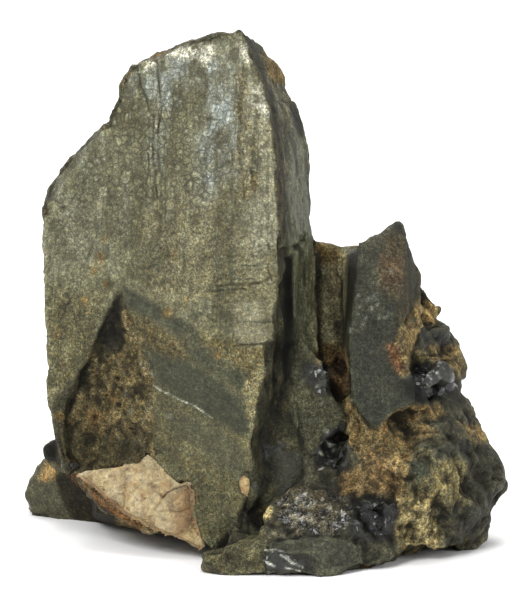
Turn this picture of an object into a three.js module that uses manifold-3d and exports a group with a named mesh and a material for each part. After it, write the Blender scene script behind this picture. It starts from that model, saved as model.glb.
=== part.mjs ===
// A natural samarskite specimen: a thick tabular crystal standing upright, a smaller pointed crystal and
// a fractured base mass grown into it, and a cream feldspar cleavage fragment wedged into its lower face.
// Units are millimetres, +Z is up, -Y is the front. The origin is the middle of the resting face.
//
// Every corner is given as [x, y, c]: x and y are measured across and down the front view on a grid whose
// step is GRID_MM at the middle of the object, and c is millimetres towards the viewer of that front view.
import * as THREE from "three";
import { ConvexGeometry } from "three/addons/geometries/ConvexGeometry.js";
import { mergeVertices } from "three/addons/utils/BufferGeometryUtils.js";
import Module from "manifold-3d";

// ---- driving dimensions -------------------------------------------------------------------------
const GRID_MM = 0.11; // one step of the front view's grid
const GRID_X0 = 265.5; // the grid's middle
const GRID_Y0 = 299.5;
const VIEW_MM = 600; // distance at which the front view was laid out
const TILT = (10 * Math.PI / 180); // the front view looks down by this much
const LIFT_MM = 27.6; // raises the lowest corners onto the resting plane
const SHIFT_Y_MM = -6.0; // centres the depth on the origin
const PLATE_MM = 12.5; // thickness of the tabular crystal, along the view
const LEAN_X = 0.3; // how much the tabular crystal's broad face turns to the left
const LEAN_Y = 0.06; // and how much it tips
const GAP_MM = 0.16; // clearance between the feldspar and its socket

const wasm = await Module();
wasm.setup();

const sinT = Math.sin(TILT), cosT = Math.cos(TILT);
function place(x, y, c) {
  const s = 1 - c / VIEW_MM;
  const a = (x - GRID_X0) * GRID_MM * s, b = (GRID_Y0 - y) * GRID_MM * s;
  return new THREE.Vector3(a, b * sinT - c * cosT + SHIFT_Y_MM, b * cosT + c * sinT + LIFT_MM);
}
// the tabular crystal's broad front face
const face = (x, y) => 9.5 - LEAN_X * (277 - x) * GRID_MM + LEAN_Y * (300 - y) * GRID_MM;

function solid(geometry) {
  const g = geometry.index ? geometry.toNonIndexed() : geometry.clone();
  for (const name of Object.keys(g.attributes)) if (name !== "position") g.deleteAttribute(name);
  const m = mergeVertices(g, 1e-4);
  return new wasm.Manifold(new wasm.Mesh({
    numProp: 3,
    vertProperties: new Float32Array(m.attributes.position.array),
    triVerts: new Uint32Array(m.index.array),
  }));
}
const hull = (corners) => solid(new ConvexGeometry(corners.map(([x, y, c]) => place(x, y, c))));
// a block standing on a face outline: front corners [x, y, c], taken back by depth mm and drawn in to "taper" of its size
function block(front, depth, taper = 1, dx = 0, dy = 0) {
  const n = front.length;
  const mx = front.reduce((s, p) => s + p[0], 0) / n, my = front.reduce((s, p) => s + p[1], 0) / n;
  return hull([...front, ...front.map(([x, y, c]) => [mx + (x - mx) * taper + dx, my + (y - my) * taper + dy, c - depth])]);
}
// a solid between two outlines with as many corners: front at depthOf(x, y), back at backOf(x, y)
function loft(front, back, frontOf, backOf) {
  const shape = new THREE.Shape(front.map(([x, y]) => new THREE.Vector2(x, -y)));
  const g = new THREE.ExtrudeGeometry(shape, { depth: 1, steps: 1, bevelEnabled: false });
  const at = new Map(front.map(([x, y], i) => [x.toFixed(2) + "," + (-y).toFixed(2), i]));
  const p = g.attributes.position;
  for (let i = 0; i < p.count; i++) {
    const k = at.get(p.getX(i).toFixed(2) + "," + p.getY(i).toFixed(2));
    const isBack = p.getZ(i) < 0.5;
    const [x, y] = isBack ? back[k] : front[k];
    const v = place(x, y, (isBack ? backOf : frontOf)(x, y));
    p.setXYZ(i, v.x, v.y, v.z);
  }
  return solid(g);
}
// an ellipsoid, for lumps and for shell-like fracture scoops
function egg([x, y, c], [ra, rb, rc], detail = 2, turn = 0) {
  const g = new THREE.IcosahedronGeometry(1, detail);
  const p = g.attributes.position, cs = Math.cos(turn), sn = Math.sin(turn);
  for (let i = 0; i < p.count; i++) {
    const u = p.getX(i) * ra, v = p.getY(i) * rb, w = p.getZ(i) * rc;
    const q = place(x + (u * cs - v * sn) / GRID_MM, y - (u * sn + v * cs) / GRID_MM, c + w);
    p.setXYZ(i, q.x, q.y, q.z);
  }
  return solid(g);
}

// ---- the tabular crystal ---------------------------------------------------------------------------
// [x, y] of the broad face's outline, and where the same corner is on the rear face
const PLATE = [
  [138, 57, 172, 84], [151.5, 50, 184, 76], [167.5, 44, 198, 70], [189.5, 38, 216, 62], [209.5, 33, 232, 54], [222, 31.5, 242, 50],
  [232, 34, 250, 50], [239, 30, 259, 45], [246, 38, 268, 58], [250, 50, 280, 67], [252, 62, 285, 77], [258, 75, 285, 89],
  [264, 90, 291, 101], [268, 102, 298, 104], [270, 120, 303, 124], [273, 140, 308, 147], [276, 170, 310, 172],
  [277, 200, 312, 200], [279, 235, 313, 235], [279, 262, 314, 262], [278, 290, 314, 290], [278, 312, 314, 310],
  [276, 330, 314, 330], [273, 338, 314, 338], [264, 345, 312, 345], [267, 358, 312, 358], [264, 372, 310, 372],
  [260, 395, 310, 395], [256, 415, 308, 415], [252, 440, 306, 440], [251, 465, 304, 460], [251, 480, 302, 470],
  [250, 498, 300, 480], [246, 512, 296, 490], [238, 535, 288, 500], [226, 548, 276, 506], [212, 556, 262, 510],
  [202, 556, 250, 512], [190, 551, 236, 512], [175, 543, 220, 508], [160, 542, 204, 506], [140, 538, 184, 504],
  [120, 535, 164, 500], [105, 533, 150, 496], [95, 527, 140, 490], [85, 524, 130, 484], [78, 512, 122, 474],
  [68, 497, 112, 462], [60, 477, 102, 448], [54, 455, 94, 432], [52, 440, 88, 420], [48, 410, 84, 398],
  [46, 380, 80, 372], [46, 340, 78, 334], [44, 300, 76, 296], [43, 260, 75, 256], [41.5, 224, 75, 226],
  [42, 198, 76, 206], [48, 183, 82, 194], [58, 168, 90, 182], [68, 154, 98, 170], [78, 144, 106, 162],
  [90, 132, 116, 152], [98.5, 125, 124, 146], [108, 122, 132, 142], [110, 113, 134, 132], [115, 105, 140, 126],
  [119, 97, 146, 118], [119, 85, 148, 108], [124, 74, 154, 98], [130, 64.5, 162, 90],
];
const rear = (x, y) => face(x - 34, y + 7) - PLATE_MM;
let samarskite = loft(PLATE.map((p) => [p[0], p[1]]), PLATE.map((p) => [p[2], p[3]]), face, rear);
const f = (x, y, d = 0) => [x, y, face(x, y) + d];

// what is broken away from the broad face
const AWAY = [
  // the lower facet, which turns down and back below a slanting line
  hull([f(108, 268, 1), f(108, 268, 0.02), f(270, 440, 1), f(270, 440, 0.02), f(262, 600, 2), f(262, 600, -2.6), f(100, 600, 2), f(100, 600, -5.2), f(40, 420, 2), f(40, 420, 0.02)]),
  // the wedge-shaped hollow left of it
  hull([f(121, 286, 1), f(121, 288, -0.3), f(103, 318, 1), f(62, 409, 1), f(59, 424, 1), f(64, 476, 1), f(104, 326, -1.9), f(68, 405, -2.4), f(65, 424, -2.2), f(71, 478, -2.6), f(160, 440, 1), f(160, 440, -1.0), f(140, 352, 1), f(138, 352, -0.9), f(175, 560, 1), f(175, 560, -3.0), f(80, 560, 1), f(80, 560, -5.6)]),
  // the dark underside at the lower left
  hull([f(60, 474, 3), f(60, 474, -3.0), f(70, 480, -1.9), f(70, 480, 3), f(200, 556, -2.2), f(200, 556, 3), f(200, 600, 3), f(200, 600, -7), f(60, 560, 3), f(60, 560, -9), f(30, 480, -6), f(30, 480, 3)]),
  // the thin bevel along the upper left edge
  hull([f(40, 214, 1), f(46, 206, -0.2), f(56, 184, 0.02), f(100, 138, 0.02), f(104, 120, 1), f(100, 122, -1.3), f(40, 196, -1.3), f(30, 196, 1), f(60, 130, 1), f(60, 130, -2.5)]),
  // the ragged top rim
  hull([f(128, 50, 1), f(126, 70, -1.4), f(140, 62, 0.02), f(190, 47, 0.02), f(215, 38, 0.02), f(215, 24, 1), f(200, 26, -1.6), f(150, 40, -1.6), f(150, 30, 1)]),
  // the chip at the top right corner
  hull([f(250, 36, 1), f(243, 28, -1.2), f(246, 40, 0.01), f(251, 58, 0.01), f(262, 84, 0.01), f(268, 84, -1.2), f(262, 30, -1.4), f(266, 50, 1)]),
  // the chipped notch at the right edge
  hull([f(284, 334, 1), f(273, 338, 0.02), f(263, 344, 0.02), f(266, 358, 0.02), f(266, 374, 0.02), f(284, 372, 1), f(284, 336, -2.0), f(266, 346, -1.2), f(264, 372, -0.9), f(284, 376, -2.0)]),
  // the slot down the right side, below the pale striated face
  hull([[280.5, 252, 13], [280.5, 254, 5.4], [300, 250, 11], [294, 252, 4.2], [280.5, 300, 13], [280.5, 300, 4.6], [279, 334, 12], [279, 334, 4.4], [303, 345, 9], [293, 345, 3.9], [270, 398, 11], [272, 398, 4.0], [291, 400, 9], [284, 400, 3.6], [266, 432, 9], [270, 432, 4.6]]),
  // the shallow step between the striated faces
  hull([[299, 236, 4], [299, 236, -0.6], [322, 232, 4], [322, 232, -0.6], [298, 345, 4], [297, 345, -0.4], [324, 345, 4], [324, 345, -0.4]]),
];

// ---- the pointed crystal ---------------------------------------------------------------------------
const POINT = [
  block([[357, 250, 2.6], [368, 243, 2.2], [384, 229, 1.2], [397, 220, 0.2], [402, 222, 0.0], [406, 238, 0.4], [398, 300, 4.0], [396, 345, 5.0], [401, 374, 5.4], [413, 402, 5.8], [404, 412, 6.0], [384, 431, 6.0], [372, 428, 6.0], [352, 400, 5.2], [349, 350, 4.2], [354, 300, 3.4]], 14, 0.86, 4, 12),
  block([[402, 222, 0.0], [406, 236, 0.2], [411, 247, -0.4], [415, 260, -1.0], [419, 272, -1.6], [419, 287, -1.6], [416, 312, -0.4], [404, 350, 2.6], [397, 345, 4.9], [398, 300, 3.9]], 11, 0.86, -2, 8),
  block([[344, 253, -2.0], [350, 252, -1.4], [358, 247, 1.8], [357, 252, 2.5], [354, 300, 3.3], [349, 350, 4.1], [346, 372, 3.2], [344, 340, -2.2]], 9, 0.9, 6, 6),
];

// ---- the fractured mass behind and below ---------------------------------------------------------------
// [x, y] of its outline in front, and the same corner at the rear
const MASS = [
  [300, 232, 300, 262], [313, 238, 312, 264], [322, 241, 322, 266], [335, 247, 334, 270], [344, 252, 344, 274], [352, 252, 356, 278],
  [368, 256, 370, 284], [384, 262, 382, 290], [400, 270, 392, 296], [410, 278, 398, 302], [419, 287, 402, 308], [424, 290, 406, 314],
  [429, 298, 410, 320], [438, 310, 414, 328], [435, 318, 416, 338], [436, 325, 420, 346], [446, 328, 426, 354], [450, 335, 430, 362],
  [455, 347, 434, 372], [463, 358, 438, 382], [466, 373, 440, 392], [460, 384, 442, 400], [465, 395, 446, 408], [479, 410, 450, 418],
  [478, 432, 454, 430], [484, 442, 458, 440], [493, 452, 462, 450], [503, 461, 466, 460], [499, 474, 468, 472], [506, 490, 468, 484],
  [502, 504, 464, 496], [492, 525, 456, 508], [482, 540, 446, 516], [471, 547, 436, 522], [460, 552, 424, 526], [440, 550, 408, 528],
  [420, 552, 390, 530], [400, 553, 372, 532], [382, 562, 350, 534], [360, 570, 330, 536], [330, 576, 306, 536], [290, 572, 280, 536],
  [262, 566, 258, 534], [240, 556, 240, 528], [250, 520, 242, 500], [266, 470, 262, 450], [280, 420, 276, 400], [290, 360, 288, 350], [296, 290, 294, 300],
];
const massFront = (x, y) => {
  const right = Math.max(0, (x - 400) / 100), low = Math.max(0, (y - 400) / 150);
  return -3.2 + 3.6 * low - 4.2 * right * right + 0.8 * Math.max(0, 1 - Math.abs(x - 420) / 60);
};
const massRear = (x, y) => -17.5 - 3.2 * Math.max(0, (y - 400) / 130) + 3.0 * Math.max(0, (340 - y) / 100);
const MASS_BLOCKS = [
  // the prism face left of the pointed crystal
  block([[297, 334, 1.2], [312, 352, 1.6], [326, 378, 1.9], [338, 402, 2.2], [346, 430, 2.4], [334, 438, 2.7], [314, 460, 3.0], [304, 438, 3.0], [293, 404, 2.6], [293, 376, 2.2], [295, 350, 1.6]], 8, 0.9),
  // the striated column beside it
  block([[292, 250, 0.6], [300, 248, -0.6], [316, 256, -2.6], [317, 330, -2.2], [316, 362, -0.4], [300, 356, 1.4], [294, 340, 1.6]], 7, 0.9),
  // the dark side below the tabular crystal's edge
  block([[262, 380, 3.2], [290, 380, 2.6], [298, 420, 3.4], [300, 460, 4.0], [302, 486, 4.6], [290, 500, 5.4], [264, 516, 5.0], [252, 500, 4.6], [254, 440, 3.6]], 10, 0.95),
  // blocks between the slit and the base
  block([[318, 466, 3.4], [334, 452, 3.6], [350, 446, 3.8], [362, 452, 4.0], [370, 470, 4.4], [368, 490, 5.4], [345, 496, 6.2], [318, 492, 6.0], [303, 486, 5.2], [302, 462, 3.6]], 12, 0.95),
  // rising brown band
  block([[346, 396, 3.2], [362, 412, 4.4], [374, 428, 5.2], [394, 440, 5.6], [408, 452, 5.4], [410, 492, 6.0], [380, 500, 6.4], [368, 470, 5.0], [356, 440, 4.0], [347, 424, 3.2]], 12, 0.95),
  // the big lump at the lower right
  block([[390, 418, 4.6], [440, 416, 3.4], [470, 432, 0.4], [492, 456, -2.2], [499, 470, -3.2], [500, 490, -3.4], [490, 522, -2.6], [466, 546, 0.6], [430, 550, 4.0], [402, 552, 5.4], [396, 520, 7.2], [402, 470, 7.0], [430, 470, 6.4], [450, 500, 5.6]], 14, 0.9, -6, -4),
  // knobs up the right edge
  block([[404, 330, 0.4], [418, 304, -2.6], [430, 300, -3.8], [437, 310, -4.6], [434, 324, -3.0], [420, 338, -0.2]], 8, 0.8, -4, 4),
  block([[412, 344, 0.8], [428, 330, -0.6], [446, 329, -2.8], [450, 338, -3.2], [452, 350, -2.6], [436, 356, 0.4], [416, 354, 1.8]], 9, 0.8, -6, 4),
  block([[404, 352, 2.0], [440, 352, 0.2], [458, 356, -2.6], [464, 366, -3.4], [461, 378, -2.8], [440, 384, 1.2], [412, 382, 2.4]], 9, 0.85, -6, 4),
  block([[418, 376, 3.2], [440, 370, 2.2], [458, 380, -1.4], [464, 398, -2.0], [476, 412, -3.4], [474, 426, -3.0], [452, 428, 1.6], [430, 414, 3.4]], 10, 0.85, -6, 2),
  // broken chips standing out of the right-hand side
  block([[398, 308, 1.2], [414, 300, -0.6], [420, 312, -0.4], [412, 330, 1.4], [400, 332, 2.6]], 7, 0.8, -3, 3),
  block([[428, 366, 3.0], [442, 362, 2.6], [450, 374, 1.8], [444, 390, 2.8], [430, 392, 4.2], [422, 380, 4.2]], 8, 0.75, -3, 3),
  block([[408, 396, 4.6], [424, 390, 4.2], [434, 400, 3.4], [428, 412, 4.4], [410, 410, 5.2]], 8, 0.8, -3, 3),
  block([[446, 412, 1.0], [464, 404, -1.0], [478, 416, -2.8], [474, 430, -2.2], [456, 432, 1.2]], 8, 0.8, -4, 3),
  block([[468, 446, 0.6], [486, 448, -1.6], [494, 462, -2.2], [480, 470, 1.6], [466, 462, 2.6]], 8, 0.8, -4, 3),
  block([[470, 484, 1.8], [500, 482, -2.4], [498, 506, -2.4], [484, 524, -1.6], [468, 520, 1.8], [460, 500, 3.4]], 10, 0.85, -4, 0),
  block([[412, 448, 6.0], [432, 440, 5.2], [448, 450, 4.4], [442, 466, 5.6], [420, 470, 7.0], [408, 462, 7.2]], 8, 0.8),
  block([[406, 482, 7.4], [424, 478, 7.2], [438, 492, 6.4], [432, 512, 6.2], [410, 512, 7.2]], 8, 0.85),
  // the glittering lump and the grey shell-fractured lens below it
  block([[262, 520, 7.0], [276, 500, 6.0], [300, 488, 5.4], [330, 488, 5.8], [352, 500, 6.4], [350, 526, 8.8], [320, 534, 9.6], [286, 534, 9.4], [266, 530, 8.4]], 14, 0.9),
  block([[266, 536, 9.2], [300, 530, 9.4], [340, 530, 9.2], [360, 546, 8.8], [366, 560, 8.6], [344, 573, 10.6], [322, 577, 11.0], [292, 572, 10.9], [268, 569, 10.4], [272, 552, 11.2], [310, 552, 11.4]], 16, 0.9),
  // the small block right of it and the one holding the black hollow
  block([[350, 536, 8.0], [380, 538, 6.8], [400, 540, 6.2], [398, 553, 6.0], [384, 562, 7.0], [370, 569, 8.2], [352, 570, 9.0]], 14, 0.9),
  block([[344, 502, 6.4], [362, 496, 6.0], [396, 498, 6.4], [402, 520, 7.0], [398, 540, 6.6], [372, 542, 7.6], [350, 530, 8.4]], 12, 0.95),
  // the foot under the tabular crystal
  block([[203, 559, 9.6], [204, 567, 10.2], [212, 572, 10.6], [240, 575, 10.8], [264, 570, 10.6], [268, 540, 9.8], [262, 522, 8.4], [246, 530, 7.4], [236, 546, 7.4], [216, 555, 8.2]], 18, 0.9, 10, -8),
];
// the thin plate standing out behind at the left, and the knob above it
const REAR_BLOCKS = [
  block([[28, 514, -19.5], [31, 490, -18.5], [38, 472, -17.5], [48, 458, -17], [62, 450, -16], [110, 440, -12], [150, 470, -9], [140, 528, -14], [104, 530, -17], [66, 520, -19.5], [44, 519, -19.8]], 5, 0.96, 8, 0),
  block([[44, 451, -12.5], [49, 442, -12], [57, 438, -11], [80, 432, -8], [80, 470, -9], [58, 465, -12]], 5, 0.9, 8, 0),
  // ties the plate and the tabular crystal's back to the mass
  hull([[96, 470, -5], [96, 512, -8], [150, 420, -5], [240, 400, -4], [290, 420, -3], [290, 545, 1], [210, 540, 1], [150, 526, -6], [110, 524, -12], [90, 520, -20], [240, 536, -21], [290, 530, -21], [280, 440, -17], [180, 452, -16], [100, 476, -18]]),
  // a sloping shoulder on the back of the tabular crystal
  hull([[200, 260, -4], [300, 255, -4], [310, 300, -4], [190, 330, -5], [210, 290, -9.5], [300, 300, -11], [300, 420, -14], [180, 440, -12], [170, 420, -5], [300, 420, -4]]),
];

// shell-like fracture scoops and hollows, [centre], [half sizes], turn
const SCOOPS = [
  [[374, 517, 9.4], [2.4, 1.7, 2.8], 0.1], // the black glassy hollow
  [[416, 389, 5.2], [1.25, 0.55, 2.2], -0.95], // the dark hollow beside the glossy knob
  [[278, 505, 8.8], [1.9, 1.5, 2.6], -0.5],
  [[252, 524, 9.0], [1.5, 1.6, 2.6], -0.6], // between foot and crystal
  [[437, 352, 5.4], [1.8, 1.0, 4.0], -0.3],
];
const REAR_SCOOPS = [
  [[380, 360, -21], [5.5, 6.5, 5.0], 0.3],
  [[430, 470, -25], [6.5, 5.5, 6.0], 0],
  [[300, 500, -27], [6.0, 4.2, 6.5], 0],
  [[150, 300, -12.4], [6.5, 9.0, 3.0], 0.2],
  [[240, 170, -9.0], [4.5, 7.5, 2.6], -0.2],
  [[200, 500, -22], [6.0, 3.5, 5.0], 0],
];

const SHARP = [
  // the slit: a wedge between the prism face and the block below it
  hull([[313, 465, 8], [318, 449, 8], [333, 431, 8], [347, 423, 8], [349, 434, 8], [334, 447, 8], [317, 468, 8], [316, 462, 2.4], [324, 446, 2.0], [344, 427, 2.2], [338, 438, 1.5], [322, 458, 1.6]]),
  // a flat-sided notch right of it
  hull([[336, 447, 8], [350, 439, 8], [356, 452, 8], [344, 468, 8], [334, 462, 8], [341, 452, 2.6], [350, 450, 2.9], [344, 460, 2.6]]),
  // hollow under the ochre band's right side
  hull([[424, 404, 8], [452, 410, 8], [470, 428, 8], [446, 430, 8], [420, 416, 8], [434, 410, 1.0], [455, 420, -0.6], [440, 420, 0.9]]),
  // step between the two right-hand knobs
  hull([[418, 340, 8], [440, 352, 8], [462, 352, 8], [440, 356, 8], [412, 352, 8], [424, 346, -1.2], [446, 353, -2.2], [424, 351, -1.0]]),
  // broken face across the big lump
  hull([[452, 436, 9], [486, 446, 9], [496, 470, 9], [470, 512, 9], [448, 500, 9], [456, 446, 3.4], [480, 456, 0.6], [484, 474, 0.4], [466, 502, 2.2], [456, 490, 3.6]]),
  hull([[402, 524, 12], [440, 520, 12], [450, 548, 12], [400, 556, 12], [404, 540, 5.0], [436, 530, 4.6], [440, 545, 3.4]]),
  hull([[380, 444, 9], [398, 446, 9], [400, 470, 9], [382, 476, 9], [386, 452, 4.8], [395, 462, 4.8]]),
];
for (const cut of AWAY) samarskite = samarskite.subtract(cut);
let mass = loft(MASS.map((p) => [p[0], p[1]]), MASS.map((p) => [p[2], p[3]]), massFront, massRear);
for (const b of MASS_BLOCKS) mass = mass.add(b);
for (const [at, size, turn] of SCOOPS) mass = mass.subtract(egg(at, size, 2, turn));
for (const cut of SHARP) mass = mass.subtract(cut);
for (const b of REAR_BLOCKS) mass = mass.add(b);
samarskite = samarskite.add(mass);
for (const b of POINT) samarskite = samarskite.add(b);
// broken faces round the rear
const REAR_FACES = [
  hull([[330, 238, -4], [436, 210, -4], [446, 300, -11], [322, 300, -14], [330, 190, -4], [436, 190, -4], [330, 190, -44], [436, 190, -44], [446, 300, -44], [322, 300, -44]]),
  hull([[442, 250, -8], [474, 370, -5.6], [512, 470, -6], [504, 600, -8], [452, 600, -24], [428, 470, -24], [412, 330, -19], [402, 250, -13], [580, 250, -8], [580, 600, -8], [580, 600, -34], [580, 250, -34]]),
  hull([[300, 236, -11], [352, 240, -9], [410, 262, -9], [430, 320, -13], [400, 380, -17.5], [320, 390, -18], [290, 330, -15], [300, 236, -40], [420, 250, -40], [450, 330, -40], [400, 400, -40], [280, 400, -40]]),
  hull([[250, 430, -19.5], [300, 420, -19], [330, 500, -22], [300, 560, -25], [240, 560, -24], [230, 480, -20], [250, 420, -40], [340, 420, -40], [340, 580, -40], [220, 580, -40]]),
];
for (const cut of REAR_FACES) samarskite = samarskite.subtract(cut);
for (const [at, size, turn] of REAR_SCOOPS) samarskite = samarskite.subtract(egg(at, size, 2, turn));

// ---- the feldspar fragment and its socket --------------------------------------------------------------
// its outline on the front: the upper edge lies deeper in the hollow than the lower one
const FELDSPAR = [
  [72, 475, -1.9], [84, 470, -2.2], [98, 468, -2.4], [112, 466, -2.5], [126, 463.5, -2.5], [138, 461.5, -2.5], [143.5, 456, -2.4], [148, 452.5, -2.3],
  [156, 459.5, -2.1], [165, 470, -1.9], [174, 479.5, -1.6], [182, 484, -1.5], [186, 480, -1.4], [191.5, 482, -1.4], [196, 492, -1.4], [196, 506, -1.5],
  [197, 520, -1.7], [201.5, 533, -2.0], [206.5, 547, -2.2], [203, 555, -2.3], [190, 549, -1.9], [176, 542, -1.5], [160, 535, -1.3], [141, 526, -1.2],
  [122, 516, -1.15], [104, 502.5, -1.2], [88, 487.5, -1.4],
];
const DEEP_MM = 4.2; // how far it goes into the crystal
const deepOf = ([x, y]) => [145 + (x - 145) * 0.72, 496 + (y - 500) * 0.66];
// an outline moved outwards by d grid steps
function grown(outline, d) {
  const n = outline.length;
  return outline.map(([x, y], i) => {
    const [ax, ay] = outline[(i + n - 1) % n], [bx, by] = outline[(i + 1) % n];
    const p = [y - ay, ax - x], q = [by - y, x - bx];
    const lp = Math.hypot(...p), lq = Math.hypot(...q);
    const m = [p[0] / lp + q[0] / lq, p[1] / lp + q[1] / lq], k = (m[0] * m[0] + m[1] * m[1]) / 2;
    return [x + m[0] / k * d, y + m[1] / k * d];
  });
}
// the fragment's own slanting sides, d grid steps further out, from out mm before its face to deeper mm behind its back
function fragment(d, out, deeper) {
  const front = FELDSPAR.map(([x, y]) => [x, y]), back = front.map(deepOf);
  const along = (t) => front.map(([x, y], i) => [x + (back[i][0] - x) * t, y + (back[i][1] - y) * t]);
  const fx = grown(along(-out / DEEP_MM), d), bx = grown(along(1 + deeper / DEEP_MM), d);
  const key = (x, y) => x.toFixed(6) + "," + y.toFixed(6);
  const at = FELDSPAR.map(([x, y, c]) => face(x, y) + c);
  const frontC = new Map(fx.map(([x, y], i) => [key(x, y), at[i] + out])), backC = new Map(bx.map(([x, y], i) => [key(x, y), at[i] - DEEP_MM - deeper]));
  return loft(fx, bx, (x, y) => frontC.get(key(x, y)), (x, y) => backC.get(key(x, y)));
}
const feldspar = fragment(0, 0, 0);
// its socket leaves the clearance on every side and is open to the front
samarskite = samarskite.subtract(fragment(GAP_MM / GRID_MM, 3, GAP_MM));
// the same corners grown by the clearance on every side, and open to the front
const socket = (corners) => hull(corners.flatMap(([x, y, c]) => [-1, 1].flatMap((i) => [-1, 1].flatMap((j) =>
  [-GAP_MM, 3].map((k) => [x + i * GAP_MM / GRID_MM, y + j * GAP_MM / GRID_MM, c + k])))));

// a honey-coloured feldspar grain at the crystal's lower right edge
const GRAIN = [[246, 472], [250, 478], [251, 487], [248, 496], [243, 492], [241, 483], [243, 476]];
const grainCorners = [
  ...GRAIN.map(([x, y]) => [x, y, face(246, 484) - 1.3]),
  ...GRAIN.map(([x, y]) => [246 + (x - 246) * 0.7, 484 + (y - 484) * 0.7, face(246, 484) - 2.6]),
  [246, 484, face(246, 484) - 0.9],
];
const grain = hull(grainCorners);
samarskite = samarskite.subtract(socket(grainCorners));

// the resting face
const floor = solid(new THREE.BoxGeometry(200, 200, 40).translate(0, 0, -20));
samarskite = samarskite.subtract(floor);

// ---- the scene graph -----------------------------------------------------------------------------------
function node(name, body, material) {
  const largest = body.decompose().sort((p, q) => q.volume() - p.volume())[0]; // crumbs cut free are dropped
  const m = largest.getMesh();
  const g = new THREE.BufferGeometry()
    .setAttribute("position", new THREE.BufferAttribute(new Float32Array(m.vertProperties), 3))
    .setIndex(new THREE.BufferAttribute(new Uint32Array(m.triVerts), 1));
  g.computeVertexNormals();
  const mesh = new THREE.Mesh(g, material);
  mesh.name = name;
  return mesh;
}
const specimen = new THREE.Group();
specimen.add(
  node("samarskite", samarskite, new THREE.MeshStandardMaterial({ color: 0x3c3d35, roughness: 0.55, metalness: 0.0 })),
  node("feldspar", feldspar, new THREE.MeshStandardMaterial({ color: 0xc4ad8a, roughness: 0.7, metalness: 0.0 })),
  node("feldspar_grain", grain, new THREE.MeshStandardMaterial({ color: 0xc79a4f, roughness: 0.6, metalness: 0.0 })),
);
export default specimen;
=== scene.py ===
import math
import bpy
import numpy as np
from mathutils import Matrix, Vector
from mathutils.bvhtree import BVHTree


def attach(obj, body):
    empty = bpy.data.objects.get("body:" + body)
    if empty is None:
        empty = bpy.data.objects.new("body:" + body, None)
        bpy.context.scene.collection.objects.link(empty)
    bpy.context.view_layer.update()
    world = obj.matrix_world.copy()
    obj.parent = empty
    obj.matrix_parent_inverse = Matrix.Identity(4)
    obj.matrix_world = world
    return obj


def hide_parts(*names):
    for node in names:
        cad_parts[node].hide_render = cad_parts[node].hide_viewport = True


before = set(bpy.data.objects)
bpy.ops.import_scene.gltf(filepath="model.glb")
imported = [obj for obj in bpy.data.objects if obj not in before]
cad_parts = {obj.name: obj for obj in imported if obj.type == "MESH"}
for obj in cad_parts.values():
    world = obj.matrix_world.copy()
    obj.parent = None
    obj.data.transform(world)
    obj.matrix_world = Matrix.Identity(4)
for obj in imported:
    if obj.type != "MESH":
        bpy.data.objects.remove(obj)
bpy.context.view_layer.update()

# ---- the front view's grid: x, y across and down the front view, c millimetres towards its viewer ----
GRID, X0, Y0, VIEW = 0.11, 265.5, 299.5, 600.0
TILT = math.radians(10.0)
P0 = np.array([0.0, -6.0, 27.6])
N = np.array([0.0, -math.cos(TILT), math.sin(TILT)])
U = np.array([0.0, math.sin(TILT), math.cos(TILT)])


def to_view(P):
    d = P - P0
    c = d @ N
    s = GRID * (1 - c / VIEW)
    return X0 + d[:, 0] / s, Y0 - (d @ U) / s, c


def plate_face(x, y):
    return 9.5 - 0.3 * (277 - x) * GRID + 0.06 * (300 - y) * GRID


# normal of the tabular crystal's broad face
FACE_N = np.array([-0.3, 0, 0]) - 0.06 * U + N
FACE_N /= np.linalg.norm(FACE_N)


# ---- noise ---------------------------------------------------------------------------------------
def rnd(ix, iy, iz, k):
    n = ix.astype(np.uint32) * np.uint32(73856093)
    n ^= iy.astype(np.uint32) * np.uint32(19349663)
    n ^= iz.astype(np.uint32) * np.uint32(83492791)
    n ^= np.uint32((k * 2654435761) & 0xFFFFFFFF)
    n ^= n >> np.uint32(15)
    n *= np.uint32(2246822519)
    n ^= n >> np.uint32(13)
    n *= np.uint32(3266489917)
    n ^= n >> np.uint32(16)
    return n.astype(np.float64) / 4294967296.0


def vnoise(Q, k=0):
    b = np.floor(Q).astype(np.int64)
    f = Q - b
    f = f * f * f * (f * (f * 6 - 15) + 10)
    out = np.zeros(len(Q))
    for i in (0, 1):
        wx = f[:, 0] if i else 1 - f[:, 0]
        for j in (0, 1):
            wy = f[:, 1] if j else 1 - f[:, 1]
            for m in (0, 1):
                wz = f[:, 2] if m else 1 - f[:, 2]
                out += wx * wy * wz * rnd(b[:, 0] + i, b[:, 1] + j, b[:, 2] + m, k)
    return out * 2 - 1


def fbm(P, size, k=0, octaves=3, gain=0.5):
    out, amp, tot = 0.0, 1.0, 0.0
    for o in range(octaves):
        out = out + amp * vnoise(P / size * 2 ** o + 13.7 * o, k + o)
        tot += amp
        amp *= gain
    return out / tot


def facets(P, size, tilt, bowl, k=0):
    """Sharp ridges between tilted shallow bowls: flat chips where bowl is small, shell-like breaks where it is large.
    Gives the height in mm and a random number for each chip."""
    Q = P / size
    b = np.floor(Q).astype(np.int64)
    best = np.full(len(Q), 9.0)
    who = np.zeros(len(Q))
    for i in (-1, 0, 1):
        for j in (-1, 0, 1):
            for m in (-1, 0, 1):
                cx, cy, cz = b[:, 0] + i, b[:, 1] + j, b[:, 2] + m
                v = np.stack([Q[:, 0] - cx - rnd(cx, cy, cz, k), Q[:, 1] - cy - rnd(cx, cy, cz, k + 1), Q[:, 2] - cz - rnd(cx, cy, cz, k + 2)], 1)
                g = np.stack([rnd(cx, cy, cz, k + 3), rnd(cx, cy, cz, k + 4), rnd(cx, cy, cz, k + 5)], 1) * 2 - 1
                h = tilt * (v * g).sum(1) + bowl * (v * v).sum(1) + 0.12 * g[:, 0]
                near = h < best
                best = np.where(near, h, best)
                who = np.where(near, rnd(cx, cy, cz, k + 6), who)
    return (best - 0.25) * size, who


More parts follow.
